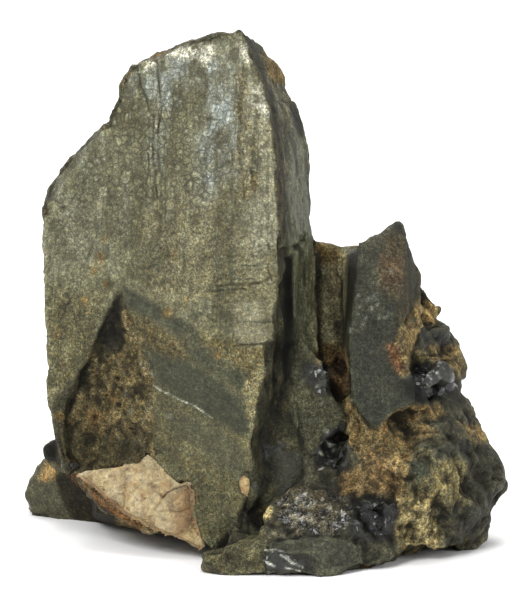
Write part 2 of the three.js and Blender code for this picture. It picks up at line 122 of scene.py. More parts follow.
def folds(P, size, k=0, count=4):
    """Flat facets between straight ridges and valleys: folded planes in a few directions, bent by wide noise."""
    bend = np.stack([vnoise(P / (1.7 * size), k + j) for j in (50, 51, 52)], 1)
    W = P + 0.55 * size * bend
    out = np.zeros(len(P))
    for i in range(count):
        q = np.array([[i, 3 * i + 1, k]])
        d = np.array([rnd(q[:, 0], q[:, 1], q[:, 2], j)[0] * 2 - 1 for j in (60, 61, 62)])
        d /= np.linalg.norm(d) + 1e-9
        r = rnd(q[:, 0], q[:, 1], q[:, 2], 63)[0]
        t = W @ d / (size * (1.5 + 0.9 * r)) + 7 * r
        t = np.abs(2 * (t - np.floor(t + 0.5)))
        out += t * (1.0 - 0.12 * i)
    return out


def cells(x, y, size, k=0, chance=1.0):
    """Distance to the nearest random point in the plane, in units of size, and that point's random number."""
    qx, qy = x / size, y / size
    bx, by = np.floor(qx).astype(np.int64), np.floor(qy).astype(np.int64)
    best, who = np.full(len(x), 9.0), np.zeros(len(x))
    z = np.zeros(len(x), np.int64)
    for i in (-1, 0, 1):
        for j in (-1, 0, 1):
            cx, cy = bx + i, by + j
            d = np.hypot(qx - cx - rnd(cx, cy, z, k), qy - cy - rnd(cx, cy, z, k + 1))
            d = np.where(rnd(cx, cy, z, k + 2) < chance, d, 9.0)
            near = d < best
            best = np.where(near, d, best)
            who = np.where(near, rnd(cx, cy, z, k + 3), who)
    return best, who


# ---- shapes in the front view's grid -----------------------------------------------------------------
def seg_dist(pts, x, y, close=False):
    pts = list(pts) + ([pts[0]] if close else [])
    best = np.full(len(x), 1e9)
    for (ax, ay), (bx, by) in zip(pts[:-1], pts[1:]):
        ux, uy = bx - ax, by - ay
        t = np.clip(((x - ax) * ux + (y - ay) * uy) / max(ux * ux + uy * uy, 1e-9), 0, 1)
        best = np.minimum(best, np.hypot(x - ax - t * ux, y - ay - t * uy))
    return best


def soft(poly, x, y, w=4.0):
    """1 inside the polygon, 0 outside, over w grid steps."""
    ins = np.zeros(len(x), bool)
    n = len(poly)
    for i in range(n):
        (ax, ay), (bx, by) = poly[i], poly[(i + 1) % n]
        if ay != by:
            ins ^= ((ay > y) != (by > y)) & (x < (bx - ax) * (y - ay) / (by - ay) + ax)
    d = seg_dist(poly, x, y, True) * np.where(ins, 1, -1)
    t = np.clip(d / w * 0.5 + 0.5, 0, 1)
    return t * t * (3 - 2 * t)


def bell(d, w):
    return np.exp(-(d / w) ** 2)


def step(v, lo, hi):
    t = np.clip((v - lo) / (hi - lo), 0, 1)
    return t * t * (3 - 2 * t)


# ---- meshes --------------------------------------------------------------------------------------------
def cad_arrays(node):
    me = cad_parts[node].data
    me.calc_loop_triangles()
    V = np.zeros(len(me.vertices) * 3)
    me.vertices.foreach_get("co", V)
    T = np.zeros(len(me.loop_triangles) * 3, np.int32)
    me.loop_triangles.foreach_get("vertices", T)
    return V.reshape(-1, 3) * 1000, T.reshape(-1, 3)


def biggest_shell(V, T):
    """Leaves out small pieces that touch nothing."""
    e, _ = edges_of(T)
    p = np.arange(len(V))
    while True:
        m = np.minimum(p[e[:, 0]], p[e[:, 1]])
        q = p.copy()
        np.minimum.at(q, e[:, 0], m)
        np.minimum.at(q, e[:, 1], m)
        q = q[q]
        if (q == p).all():
            break
        p = q
    lab, cnt = np.unique(p[T[:, 0]], return_counts=True)
    T = T[p[T[:, 0]] == lab[np.argmax(cnt)]]
    used, inv = np.unique(T, return_inverse=True)
    return V[used], inv.reshape(-1, 3).astype(np.int32)


def remeshed(node, voxel, fill=()):
    """A copy of the CAD solid in even triangles, and a tree of the solid's own surface for pulling it back onto.
    Millimetres.
    fill holds convex lumps that keep walls thinner than a voxel closed."""
    V, T = cad_arrays(node)
    tree = BVHTree.FromPolygons(V.tolist(), T.tolist())
    verts, faces = V.tolist(), T.tolist()
    for low_ring, high_ring in fill:
        k, n = len(verts), len(low_ring)
        verts += [list(p) for p in low_ring] + [list(p) for p in high_ring]
        faces += [list(range(k, k + n))[::-1], list(range(k + n, k + 2 * n))]
        faces += [[k + i, k + (i + 1) % n, k + n + (i + 1) % n, k + n + i] for i in range(n)]
    me = bpy.data.meshes.new("work")
    me.from_pydata(verts, [], faces)
    ob = bpy.data.objects.new("work", me)
    bpy.context.scene.collection.objects.link(ob)
    mod = ob.modifiers.new("r", "REMESH")
    mod.mode = "VOXEL"
    mod.voxel_size = voxel
    ev = ob.evaluated_get(bpy.context.evaluated_depsgraph_get())
    m2 = ev.to_mesh()
    m2.calc_loop_triangles()
    W = np.zeros(len(m2.vertices) * 3)
    m2.vertices.foreach_get("co", W)
    Q = np.zeros(len(m2.loop_triangles) * 3, np.int32)
    m2.loop_triangles.foreach_get("vertices", Q)
    ev.to_mesh_clear()
    bpy.data.objects.remove(ob)
    bpy.data.meshes.remove(me)
    return *biggest_shell(W.reshape(-1, 3), Q.reshape(-1, 3)), tree


def snap(V, tree, reach):
    out = V.copy()
    for i, p in enumerate(V.tolist()):
        q = tree.find_nearest(p)
        if q[0] is not None and q[3] < reach:
            out[i] = q[0]
    return out


def normals(V, T):
    a, b, c = V[T[:, 0]], V[T[:, 1]], V[T[:, 2]]
    f = np.cross(b - a, c - a)
    n = np.zeros_like(V)
    for k in range(3):
        np.add.at(n, T[:, k], f)
    return n / np.maximum(np.linalg.norm(n, axis=1, keepdims=True), 1e-12)


def edges_of(T):
    e = np.sort(np.concatenate([T[:, [0, 1]], T[:, [1, 2]], T[:, [2, 0]]]), axis=1)
    return np.unique(e, axis=0, return_inverse=True)


def neighbours(V, T):
    e, _ = edges_of(T)
    return e


def average(A, e):
    """Mean of each point's neighbours."""
    s = np.zeros_like(A, dtype=float)
    cnt = np.zeros(len(A))
    np.add.at(s, e[:, 0], A[e[:, 1]])
    np.add.at(s, e[:, 1], A[e[:, 0]])
    np.add.at(cnt, e[:, 0], 1)
    np.add.at(cnt, e[:, 1], 1)
    return s / np.maximum(cnt, 1).reshape((-1,) + (1,) * (A.ndim - 1))


def refine(V, T, mark, extra):
    """Splits every edge of the marked triangles in half. extra is a list of arrays carried along."""
    e, inv = edges_of(T)
    inv = inv.reshape(3, -1).T  # edge of corners 01, 12, 20
    cut = np.zeros(len(e), bool)
    cut[inv[mark].ravel()] = True
    mid = np.full(len(e), -1)
    mid[cut] = len(V) + np.arange(cut.sum())
    new = [np.concatenate([A, (A[e[cut, 0]] + A[e[cut, 1]]) / 2]) for A in [V] + extra]
    m = mid[inv]
    has = (m >= 0).sum(1)
    out = [T[has == 0]]
    t, q = T[has == 3], m[has == 3]
    out += [np.stack([t[:, 0], q[:, 0], q[:, 2]], 1), np.stack([q[:, 0], t[:, 1], q[:, 1]], 1), np.stack([q[:, 2], q[:, 1], t[:, 2]], 1), q]
    for k in range(3):  # one cut edge
        s = (has == 1) & (m[:, k] >= 0)
        t, q = T[s], m[s, k]
        a, b, c = t[:, k], t[:, (k + 1) % 3], t[:, (k + 2) % 3]
        out += [np.stack([a, q, c], 1), np.stack([q, b, c], 1)]
    for k in range(3):  # two cut edges, k the whole one
        s = (has == 2) & (m[:, k] < 0)
        t = T[s]
        a, b, c = t[:, k], t[:, (k + 1) % 3], t[:, (k + 2) % 3]
        p, q = m[s, (k + 1) % 3], m[s, (k + 2) % 3]
        out += [np.stack([a, b, p], 1), np.stack([a, p, q], 1), np.stack([q, p, c], 1)]
    return new[0], np.concatenate(out), new[1:]


def build(name, V, T, attributes, material, node, angle=None):
    me = bpy.data.meshes.new(name)
    me.vertices.add(len(V))
    me.vertices.foreach_set("co", (V / 1000).astype(np.float32).ravel())
    me.loops.add(len(T) * 3)
    me.loops.foreach_set("vertex_index", T.astype(np.int32).ravel())
    me.polygons.add(len(T))
    me.polygons.foreach_set("loop_start", np.arange(0, len(T) * 3, 3, dtype=np.int32))
    me.polygons.foreach_set("loop_total", np.full(len(T), 3, np.int32))
    me.update(calc_edges=True)
    me.validate()
    for key, A in attributes.items():
        at = me.attributes.new(key, "FLOAT_COLOR", "POINT")
        col = np.ones((len(V), 4), np.float32)
        col[:, :3] = A
        at.data.foreach_set("color", col.ravel())
    me.polygons.foreach_set("use_smooth", np.ones(len(T), bool))
    if angle:
        me.set_sharp_from_angle(angle=math.radians(angle))
    ob = bpy.data.objects.new(name, me)
    bpy.context.scene.collection.objects.link(ob)
    me.materials.append(material)
    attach(ob, "root")
    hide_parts(node)
    return ob


# ---- where things are on the front view -------------------------------------------------------------
MAIN = [(137, 64), (145, 58), (160, 52), (175, 48), (190, 44), (205, 40), (214, 37), (226, 37), (234, 37), (241, 31), (246, 42), (250, 50), (252, 62), (255, 70),
        (260, 80), (264, 92), (268, 105), (270, 120), (273, 135), (275, 165), (277, 195), (278, 230), (279, 250), (277, 275), (279, 290), (278, 310),
        (276, 328), (273, 333), (275, 340), (263, 345), (266, 350), (268, 358), (265, 372), (260, 392), (256, 412), (255, 425), (251, 445), (252, 455),
        (250, 480), (247, 495), (243, 505), (235, 520), (225, 535), (210, 553), (203, 556), (160, 541), (100, 530), (85, 525), (68, 508), (58, 480), (52, 445),
        (49, 420), (46, 380), (46, 320), (43, 270), (43, 205), (50, 188), (70, 158), (97, 133), (108, 125), (112, 112), (120, 96), (121, 85), (128, 72)]
EDGE_R = MAIN[9:42]
V_LEFT = [(119, 290), (112, 306), (100, 332), (84, 364), (72, 388), (62, 410)]
V_RIGHT = [(119, 290), (125, 312), (140, 350), (150, 380), (150, 430), (160, 470)]
V_AREA = [(118, 290), (126, 314), (141, 350), (151, 380), (151, 430), (160, 468), (140, 462), (112, 466), (80, 470), (66, 474), (60, 440), (62, 410), (72, 388), (84, 364), (100, 332), (112, 306)]
SLATE = [(121, 284), (150, 300), (200, 330), (236, 352), (262, 376), (256, 412), (252, 440), (240, 455), (200, 440), (172, 425), (153, 395), (141, 350), (126, 314)]
SLATE_LOW = [(150, 384), (180, 402), (213, 418), (250, 440), (250, 480), (243, 505), (225, 535), (210, 552), (204, 548), (196, 500), (180, 476), (160, 462), (151, 430)]
PATCH = [(236, 302), (262, 300), (277, 303), (276, 328), (270, 340), (256, 346), (236, 345), (233, 322)]
BLUE_1 = [(158, 58), (178, 56), (176, 106), (162, 110)]
BLUE_2 = [(200, 62), (236, 60), (238, 110), (234, 176), (206, 178), (198, 130)]
SIDE = [(252, 45), (264, 50), (276, 63), (285, 73), (286, 91), (302, 118), (309, 160), (313, 238), (300, 244), (280, 250), (277, 195), (273, 135), (268, 105), (260, 80)]
SIDE_LOW = [(279, 252), (293, 250), (296, 330), (293, 380), (291, 415), (302, 440), (303, 485), (285, 500), (262, 515), (243, 510), (252, 470), (256, 415), (268, 365), (264, 345), (278, 330)]
PANEL = [(293, 250), (313, 250), (314, 350), (306, 360), (296, 335)]
RECESS = [(312, 243), (322, 245), (350, 254), (348, 310), (345, 352), (330, 365), (316, 362), (312, 330)]
POINT = [(357, 250), (383, 228), (398, 219), (404, 235), (402, 262), (399, 300), (396, 325), (393, 337), (388, 350), (394, 362), (400, 374), (409, 392), (418, 407), (400, 410), (386, 419), (378, 433), (370, 426), (360, 413), (353, 404), (345, 390), (344, 362), (348, 331), (353, 300)]
POINT_L = [(347, 252), (360, 250), (357, 290), (352, 310), (348, 331), (344, 362), (341, 356), (345, 300)]
POINT_R = [(404, 235), (411, 248), (419, 273), (419, 290), (416, 302), (406, 320), (399, 335), (399, 300), (402, 262)]
BROWN_UP = [(388, 235), (400, 232), (405, 245), (404, 290), (398, 300), (388, 296), (380, 285), (378, 262)]
INNER = [(295, 334), (306, 360), (320, 382), (338, 402), (347, 420), (340, 432), (322, 450), (312, 460), (302, 438), (291, 411), (292, 370)]
SLIT = [(314, 463), (318, 450), (325, 440), (333, 431), (346, 424), (348, 434), (335, 446), (325, 456), (316, 466)]
GLOSS_IN = [(304, 364), (326, 360), (334, 380), (336, 398), (318, 396), (306, 382)]
GLITTER = [(276, 504), (292, 490), (330, 487), (350, 498), (352, 522), (340, 534), (300, 534), (278, 526)]
EDGE_S = [(241, 31), (248, 40), (255, 54), (262, 76), (270, 96), (276, 122), (280, 165), (283, 200), (284, 236)]
SPARKLE = [  # painted highlights: short glints on the shell-like breaks
    [(266, 551), (276, 549), (284, 551)], [(268, 560), (275, 566)], [(281, 555), (292, 562), (302, 567)], [(286, 567), (300, 571)], [(270, 570), (280, 573)],
    [(426, 374), (432, 379)], [(424, 381), (433, 387)], [(436, 373), (440, 379)], [(430, 392), (438, 394)], [(418, 377), (422, 380)],
    [(366, 503), (374, 500), (384, 502)], [(352, 506), (356, 502)], [(388, 506), (393, 513)], [(318, 470), (322, 466)], [(340, 448), (345, 446)], [(362, 498), (370, 497)],
]
GLINT_GRID = [(288, 512), (296, 505), (306, 498), (313, 507), (322, 500), (330, 510), (338, 504), (344, 514), (300, 520), (318, 518), (333, 522), (284, 522), (308, 528), (326, 495), (347, 497), (328, 443), (320, 452), (326, 432), (310, 372), (304, 380), (318, 386), (322, 402), (331, 412)]
GLOSS_C = [(313, 452), (320, 440), (330, 430), (343, 424), (350, 436), (352, 452), (347, 470), (334, 466), (326, 462), (316, 466)]
LENS = [(268, 545), (285, 537), (320, 536), (352, 540), (364, 552), (366, 566), (345, 572), (320, 577), (290, 573), (270, 566)]
LENS_HL = [(264, 552), (284, 548), (290, 556), (302, 562), (300, 570), (284, 572), (266, 568)]
HOLLOW = [(346, 504), (362, 497), (392, 499), (400, 512), (396, 534), (380, 541), (360, 540), (350, 526)]
FOOT = [(202, 560), (216, 552), (236, 540), (252, 528), (262, 534), (266, 560), (262, 570), (240, 576), (215, 573)]
KNOB_1 = [(404, 376), (422, 362), (446, 362), (462, 376), (460, 390), (446, 398), (424, 404), (406, 402)]
KNOB_2 = [(414, 326), (440, 326), (452, 332), (456, 350), (440, 354), (420, 352)]
ROUGH_1 = [(412, 404), (430, 388), (462, 382), (470, 400), (480, 414), (478, 430), (455, 430), (430, 424)]
LOWER_R = [(412, 440), (440, 434), (484, 444), (503, 462), (506, 492), (492, 524), (478, 545), (440, 552), (400, 553), (396, 500), (404, 462)]
TAN = [(428, 466), (446, 458), (462, 468), (462, 498), (448, 512), (432, 508), (424, 490)]
OCHRE = [
    [(334, 352), (348, 356), (348, 392), (340, 398), (333, 380)],
    [(338, 394), (352, 400), (366, 424), (380, 440), (388, 450), (384, 462), (368, 462), (356, 448), (346, 432), (347, 418)],
    [(368, 432), (386, 418), (410, 414), (428, 426), (436, 436), (414, 442), (408, 470), (402, 500), (386, 498), (374, 480), (366, 462)],
    [(398, 494), (430, 492), (440, 515), (438, 548), (404, 550), (396, 524)],
    [(399, 338), (404, 322), (418, 298), (436, 304), (434, 322), (418, 330), (412, 348), (410, 372), (402, 376), (394, 368), (392, 350)],
    [(430, 344), (458, 344), (466, 370), (458, 380), (446, 364), (430, 358)],
    [(316, 243), (345, 253), (344, 264), (320, 262)],
    [(316, 345), (344, 345), (344, 364), (318, 364)],
    [(340, 474), (360, 474), (358, 491), (342, 490)],
    [(408, 404), (440, 404), (442, 418), (414, 420), (390, 424), (386, 416)],
    [(268, 58), (284, 62), (286, 80), (276, 84), (268, 74)],
    [(262, 507), (271, 508), (270, 521), (262, 520)],
    [(455, 425), (478, 425), (484, 442), (470, 444)],
]
REAR_PLATE = [(28, 512), (32, 492), (38, 480), (49, 461), (55, 461), (58, 480), (62, 495), (70, 510), (85, 525), (66, 520), (50, 518), (30, 514)]
RUST_RIM = [(71, 475), (76, 480), (88, 489), (104, 503), (122, 516), (141, 526), (160, 535), (176, 542), (190, 549), (203, 555)]
FELD = [(72, 475), (84, 470), (98, 468), (112, 466), (126, 463.5), (138, 461.5), (143.5, 456), (148, 452.5), (156, 459.5), (165, 470), (174, 479.5), (182, 484), (186, 480), (191.5, 482),
        (196, 492), (196, 506), (197, 520), (201.5, 533), (206.5, 547), (203, 555), (190, 549), (176, 542), (160, 535), (141, 526), (122, 516), (104, 502.5), (88, 487.5)]
UNDER = [(60, 474), (70, 478), (84, 488), (104, 504), (122, 517), (141, 527), (160, 536), (176, 543), (176, 548), (120, 542), (92, 532), (76, 520), (62, 500), (54, 478)]

# cracks on the broad face: points, width in grid steps, depth in mm
CRACKS = [
    ([(218, 286), (232, 285), (250, 284), (256, 283), (262, 282), (270, 278)], 1.3, 0.26),
    ([(212, 291), (228, 290), (245, 289)], 1.0, 0.14),
    ([(237, 322), (250, 321), (262, 323), (275, 322)], 1.0, 0.14),
    ([(234, 346), (250, 345), (262, 344)], 1.2, 0.2),
    ([(200, 313), (211, 319), (222, 324)], 1.0, 0.12),
    ([(82, 200), (72, 212), (65, 225), (55, 240), (50, 255), (44, 270)], 1.0, 0.09),
    ([(97, 235), (90, 250), (83, 268)], 1.0, 0.09),
    ([(92, 252), (86, 262), (80, 272)], 0.9, 0.07),
    ([(76, 292), (68, 304), (62, 318), (58, 330)], 1.0, 0.10),
    ([(157, 60), (159, 85), (161, 108), (158, 128)], 1.2, 0.26),
    ([(153, 115), (153, 150), (155, 180), (158, 205)], 1.2, 0.26),
    ([(158, 112), (158, 140), (160, 170), (162, 196)], 1.0, 0.2),
    ([(137, 68), (140, 84), (147, 101), (150, 112)], 1.0, 0.2),
    ([(165, 130), (164, 160), (166, 190), (165, 222)], 0.9, 0.14),
    ([(150, 112), (149, 150), (150, 186)], 0.9, 0.12),
    ([(90, 194), (120, 192), (158, 192)], 0.8, 0.07),
    ([(178, 218), (192, 217), (206, 220)], 0.8, 0.08),
    ([(190, 234), (220, 232), (250, 231)], 0.8, 0.07),
    ([(252, 138), (257, 149), (250, 163), (252, 180), (262, 190)], 1.0, 0.12),
    ([(248, 205), (252, 222), (249, 240)], 0.9, 0.08),
    ([(186, 70), (188, 96), (185, 120)], 0.9, 0.07),
    ([(128, 315), (135, 326), (150, 336), (180, 352)], 1.6, 0.16),
    ([(142, 345), (152, 366), (156, 390)], 1.4, 0.12),
    ([(106, 150), (112, 165), (108, 182)], 1.0, 0.09),
    ([(122, 288), (160, 312), (205, 342), (250, 378)], 1.1, 0.08),
    ([(150, 352), (185, 372), (220, 396), (250, 418)], 1.0, 0.05),
    ([(46, 300), (60, 306), (72, 303)], 1.0, 0.10),
    ([(100, 352), (88, 366), (78, 378)], 1.5, 0.2),
    ([(266, 240), (270, 252), (268, 268), (272, 280)], 1.2, 0.14),
    ([(60, 440), (66, 462), (74, 486)], 1.2, 0.15),
]
LADDER = [(yy, 224 + 9 * ((i * 37) % 5) / 4, 262 - 6 * ((i * 23) % 4) / 3) for i, yy in enumerate((250, 256, 261, 266, 270, 274, 279, 289, 293, 297, 301))]
SCRATCHES = [([(153, 385), (160, 390), (171, 395), (180, 400), (195, 406), (204, 412), (213, 418)], 1.2)] + [([(160 + i * 9, 424 + i * 5), (205 + i * 5, 446 + i * 8)], 0.7) for i in range(6)]
RING_PITS = [(118, 378, 3.8, 1.0), (96, 417, 5.2, 1.0), (119, 404, 4.2, 1.0), (86, 430, 2.8, 0.4), (107, 356, 2.4, 0.4), (104, 396, 2.2, 0.4), (131, 428, 2.6, 0.5), (112, 434, 2.2, 0.3)]
PALE_SPOTS = [(127, 393, 3.2), (131, 411, 3.0), (142, 365, 2.6), (150, 408, 3.4), (143, 420, 2.4), (151, 375, 2.4), (136, 441, 2.4), (116, 362, 2.2), (168, 415, 2.6)]
CELL_PITS = [(121, 108, 3.6), (134, 107, 3.8), (128, 116, 3.8), (115, 122, 3.4), (142, 112, 3.4), (97, 161, 4.2), (104, 159, 3.2), (90, 165, 3.6), (97, 177, 4.0), (85, 176, 2.8), (112, 150, 3.0), (163, 141, 3.4), (178, 168, 3.6), (190, 184, 4.0), (172, 190, 3.2), (186, 132, 3.6), (196, 118, 3.2), (180, 100, 3.0), (174, 184, 2.6), (198, 160, 3.0), (148, 152, 2.6), (206, 196, 3.4)]
RIM_L = [(43, 214), (45, 200), (48, 190), (55, 175), (66, 160), (80, 146), (92, 135), (98, 130), (108, 124), (110, 114), (118, 100), (121, 85)]
RIM_T = [(121, 85), (128, 70), (138, 61), (150, 53), (165, 48), (185, 42), (205, 38), (220, 34), (232, 34), (240, 30)]
LIGHT_LINES = [
    ([(293, 300), (296, 335), (295, 370), (292, 402), (290, 415)], 1.0, (0.15, 0.145, 0.11)),
    ([(294, 412), (303, 430), (310, 445), (313, 458)], 1.0, (0.13, 0.12, 0.09)),
    ([(295, 450), (300, 475), (303, 485)], 1.3, (0.13, 0.07, 0.04)),
    ([(313, 240), (314, 290), (314, 345)], 1.0, (0.12, 0.10, 0.07)),
    ([(330, 455), (338, 449), (347, 446), (352, 450)], 1.0, (0.13, 0.125, 0.095)),
    ([(301, 236), (300, 300), (303, 345)], 0.8, (0.11, 0.11, 0.085)),
]
SWIRL = [
    ([(392, 428), (410, 424), (430, 420), (452, 424), (476, 438), (490, 452)], 2.2),
    ([(398, 434), (420, 432), (440, 434), (462, 444), (480, 460)], 1.6),
    ([(424, 446), (436, 452), (456, 452), (474, 458)], 1.4),
    ([(410, 462), (420, 452), (436, 446)], 1.6),
    ([(446, 512), (460, 504), (466, 488), (468, 470)], 1.8),
    ([(400, 474), (412, 486), (430, 512), (434, 536)], 1.4),
    ([(352, 500), (372, 496), (394, 500), (400, 520)], 1.4),
    ([(284, 500), (300, 490), (326, 487), (350, 498)], 1.4),
    ([(276, 540), (300, 536), (340, 534), (356, 542)], 1.6),
    ([(430, 384), (446, 398), (462, 412)], 1.6),
    ([(404, 352), (424, 356), (446, 352)], 1.4),
    ([(404, 332), (416, 322), (430, 324)], 1.4),
]


# ---- the samarskite ----------------------------------------------------------------------------------------
BASE_VOXEL = 0.59
# the thin wall between the hollow's lower end and the crystal's left edge
WALL = [(-22.3, -8.9), (-21.8, -8.9), (-21.7, -7.6), (-20.8, -7.4), (-20.8, -6.2), (-21.6, -6.4), (-22.3, -7.7)]
V, T, tree = remeshed("samarskite", BASE_VOXEL, [([(a + 0.35, b, 8.5) for a, b in WALL], [(a - 0.1, b, 11.2) for a, b in WALL])])
V = snap(V, tree, BASE_VOXEL)
eye = P0 + N * VIEW


def sees_eye(V, nrm, tree):
    d = eye - V
    d /= np.linalg.norm(d, axis=1, keepdims=True)
    facing = (nrm * d).sum(1)
    out = np.zeros(len(V))
    start = V + nrm * 0.25 + d * 0.05
    for i in np.nonzero(facing > -0.05)[0]:
        if tree.ray_cast(Vector(start[i]), Vector(d[i]))[0] is None:
            out[i] = 1
    return out, facing


nrm = normals(V, T)
seen, facing = sees_eye(V, nrm, tree)
e, _ = edges_of(T)
near = seen.copy()
for _ in range(2):
    near = np.maximum(near, average(near, e) > 0.1)
V, T, (near,) = refine(V, T, near[T].max(1) > 0, [near])
V = snap(V, tree, 0.3)
# finer still along the cracks, rims and pits of the broad face
x, y, c = to_view(V)
d = np.full(len(V), 99.0)
for pts, *_ in CRACKS + SCRATCHES + LIGHT_LINES + [(p, 0) for p in SPARKLE]:
    d = np.minimum(d, seg_dist(pts, x, y))
for ly, xa, xb in LADDER:
    d = np.minimum(d, seg_dist([(xa, ly), (xb, ly)], x, y) + 0.5)
for px, py, r, *_ in RING_PITS + CELL_PITS:
    d = np.minimum(d, np.abs(np.hypot(x - px, y - py) - r) + 0.8)
V, T, (near,) = refine(V, T, (d[T].min(1) < 1.65) & (near[T].min(1) > 0), [near])
V = snap(V, tree, 0.3)
print("samarskite triangles", len(T))
nrm = normals(V, T)
seen, facing = sees_eye(V, nrm, tree)
e, _ = edges_of(T)
for _ in range(2):
    seen = 0.5 * seen + 0.5 * average(seen, e)

# how sharply the solid turns at each point: above 0 on ridges, below 0 in hollows
lap = ((V - average(V, e)) * nrm).sum(1)
ridge = lap.copy()
for _ in range(3):
    ridge = 0.5 * ridge + 0.5 * average(ridge, e)
ridge_s = ridge / 0.03

x, y, c = to_view(V)
wob = 2.2 * fbm(V, 2.0, 5, 3)
wob2 = 2.2 * fbm(V, 2.0, 9, 3)
xw, yw = x + wob, y + wob2  # the same places with wandering outlines
on_face = step(nrm @ FACE_N, 0.82, 0.93) * step(-np.abs(c - plate_face(x, y) + 1.2), -5.5, -4.5) * seen * soft(MAIN, x, y, 3)
front = soft(MAIN, x, y, 2) * seen
side = soft(SIDE, xw, yw, 3) * seen * (1 - front)
plate_top = (y < 236) * 1.0  # only the tabular crystal reaches this high
panel = soft(PANEL, x, y, 3) * seen
point = soft(POINT, x, y, 3) * seen
point_r = soft(POINT_R, x, y, 3) * seen
point_l = soft(POINT_L, x, y, 3) * seen
inner = soft(INNER, x, y, 3) * seen
recess = soft(RECESS, x, y, 4) * seen
side_low = soft(SIDE_LOW, x, y, 4) * seen * (1 - front)
lens = soft(LENS, x, y, 4) * seen
foot = soft(FOOT, x, y, 4) * seen * (1 - front)
rear_plate = soft(REAR_PLATE, x, y, 4) * seen
crystal = np.clip(front + side + plate_top + panel + point + point_r + point_l + inner + 0.9 * rear_plate, 0, 1)
# the tabular crystal's left flank and its back, where the broken mass doesn't cover them
depth = (plate_face(x, y) - c) / 12.5
flank = step(52 + 34 * depth - x, 0, 3) * (y > 190) * (y < 445) * step(depth, -0.1, 0.0) * step(-depth, -1.15, -1.0)
back = step(-np.abs(plate_face(x - 34, y + 7) - 12.5 - c), -1.2, -0.5) * step(345 + 22 * fbm(V, 7.0, 43, 3) - y, 0, 12) * (x < 320)
crystal = np.maximum(crystal, (1 - seen) * step(252 + 12 * fbm(V, 5.0, 45, 3) - y, 0, 10))
crystal = np.maximum(crystal, np.maximum(flank, back * (1 - seen)))
rough = 1 - crystal
glassy = np.clip(soft(GLOSS_IN, xw, yw, 4) + soft(GLITTER, xw, yw, 5) + soft(HOLLOW, xw, yw, 4) + soft(KNOB_1, xw, yw, 4) + 0.6 * soft(KNOB_2, xw, yw, 4) + soft(SLIT, x, y, 2) + soft(GLOSS_C, xw, yw, 3) + soft(LENS_HL, xw, yw, 3), 0, 1) * seen * (1 - front)
v_area = soft(V_AREA, xw, yw, 3) * front
slate = soft(SLATE, x + 0.6 * wob, y + 0.6 * wob2, 2) * front
slate_low = soft(SLATE_LOW, xw, yw, 6) * front
gentle = np.clip(lens + 0.7 * foot + 0.8 * side_low + 0.95 * recess, 0, 1)

# the broken mass is rounded off before it is chipped
soften = np.clip(rough * (1 - gentle), 0, 1)[:, None]
S = V.copy()
for k in range(7):
    S += soften * 0.5 * (average(S, e) - S) * (1.0 if k < 4 else seen[:, None])
nrm = normals(S, T)


def even(f, w):
    m = (f * w).sum() / w.sum()
    return (f - m) / math.sqrt((((f - m) ** 2) * w).sum() / w.sum())


f5 = folds(V, 5.5, 11)
id2, id1, id0 = (facets(V, size, tilt, 0.3, k)[1] for size, tilt, k in ((2.4, 0.6, 21), (1.0, 0.5, 31), (0.45, 0.4, 35)))
f2, f1, f0 = folds(V, 2.4, 21), folds(V, 1.1, 31), folds(V, 0.55, 35, 3)
f5, f2, f1, f0 = even(f5, rough), even(f2, rough), even(f1, rough), even(f0, rough)
low = fbm(V, 6.0, 41, 3)
mid = fbm(V, 1.5, 51, 3)
fine = fbm(V, 0.5, 61, 2)
near_feld = bell(seg_dist(FELD, x, y, True), 5.0) * seen

h = np.zeros(len(V))
calm = 1 - 0.55 * soft([(396, 296), (440, 298), (470, 350), (474, 404), (440, 424), (404, 404)], x, y, 8) * seen
h += rough * (1 - gentle) * ((0.66 - 0.43 * seen) * f5 + (0.40 - 0.06 * seen) * f2 + calm * (0.13 * f1 + 0.04 * f0) + 0.06 * mid + 0.03 * fine)
h += rough * gentle * (0.09 * f2 + 0.06 * low + 0.04 * mid + 0.03 * f1)
h += glassy * (0.14 * f2 + 0.08 * f1 + 0.03 * f0)
h += crystal * (0.05 * low + 0.035 * mid + 0.014 * fine)
h -= flank * (1 - seen) * (0.02 + 0.09 * np.clip(f1, -1, 1.5))

# striations up the crystal's side and on the panels beside it
up = V @ (U * 0.12)
sx = V @ np.array([1.0, 0, 0]) + 0.6 * (V @ N)
stria = vnoise(np.stack([sx / 0.55, up, np.zeros(len(V))], 1), 71) + 0.6 * vnoise(np.stack([sx / 0.25, up * 2, np.zeros(len(V))], 1), 72)
h += (side + panel) * 0.08 * stria
h -= side * 0.12 * np.clip(f1 + 1.2 * mid, 0, 2) * step(low + mid, 0.1, 0.5)
h += side * (0.06 + 0.05 * f2 + 0.04 * f1)
h += (1 - seen) * crystal * 0.10 * stria * (1 - 0.4 * mid)
h += (1 - seen) * crystal * 0.14 * np.clip(f5, -1.2, 0.4)
h += (1 - seen) * crystal * 0.06 * np.clip(f2, -1.2, 0.6)
h += point * 0.03 * stria + recess * 0.06 * stria + inner * 0.03 * stria
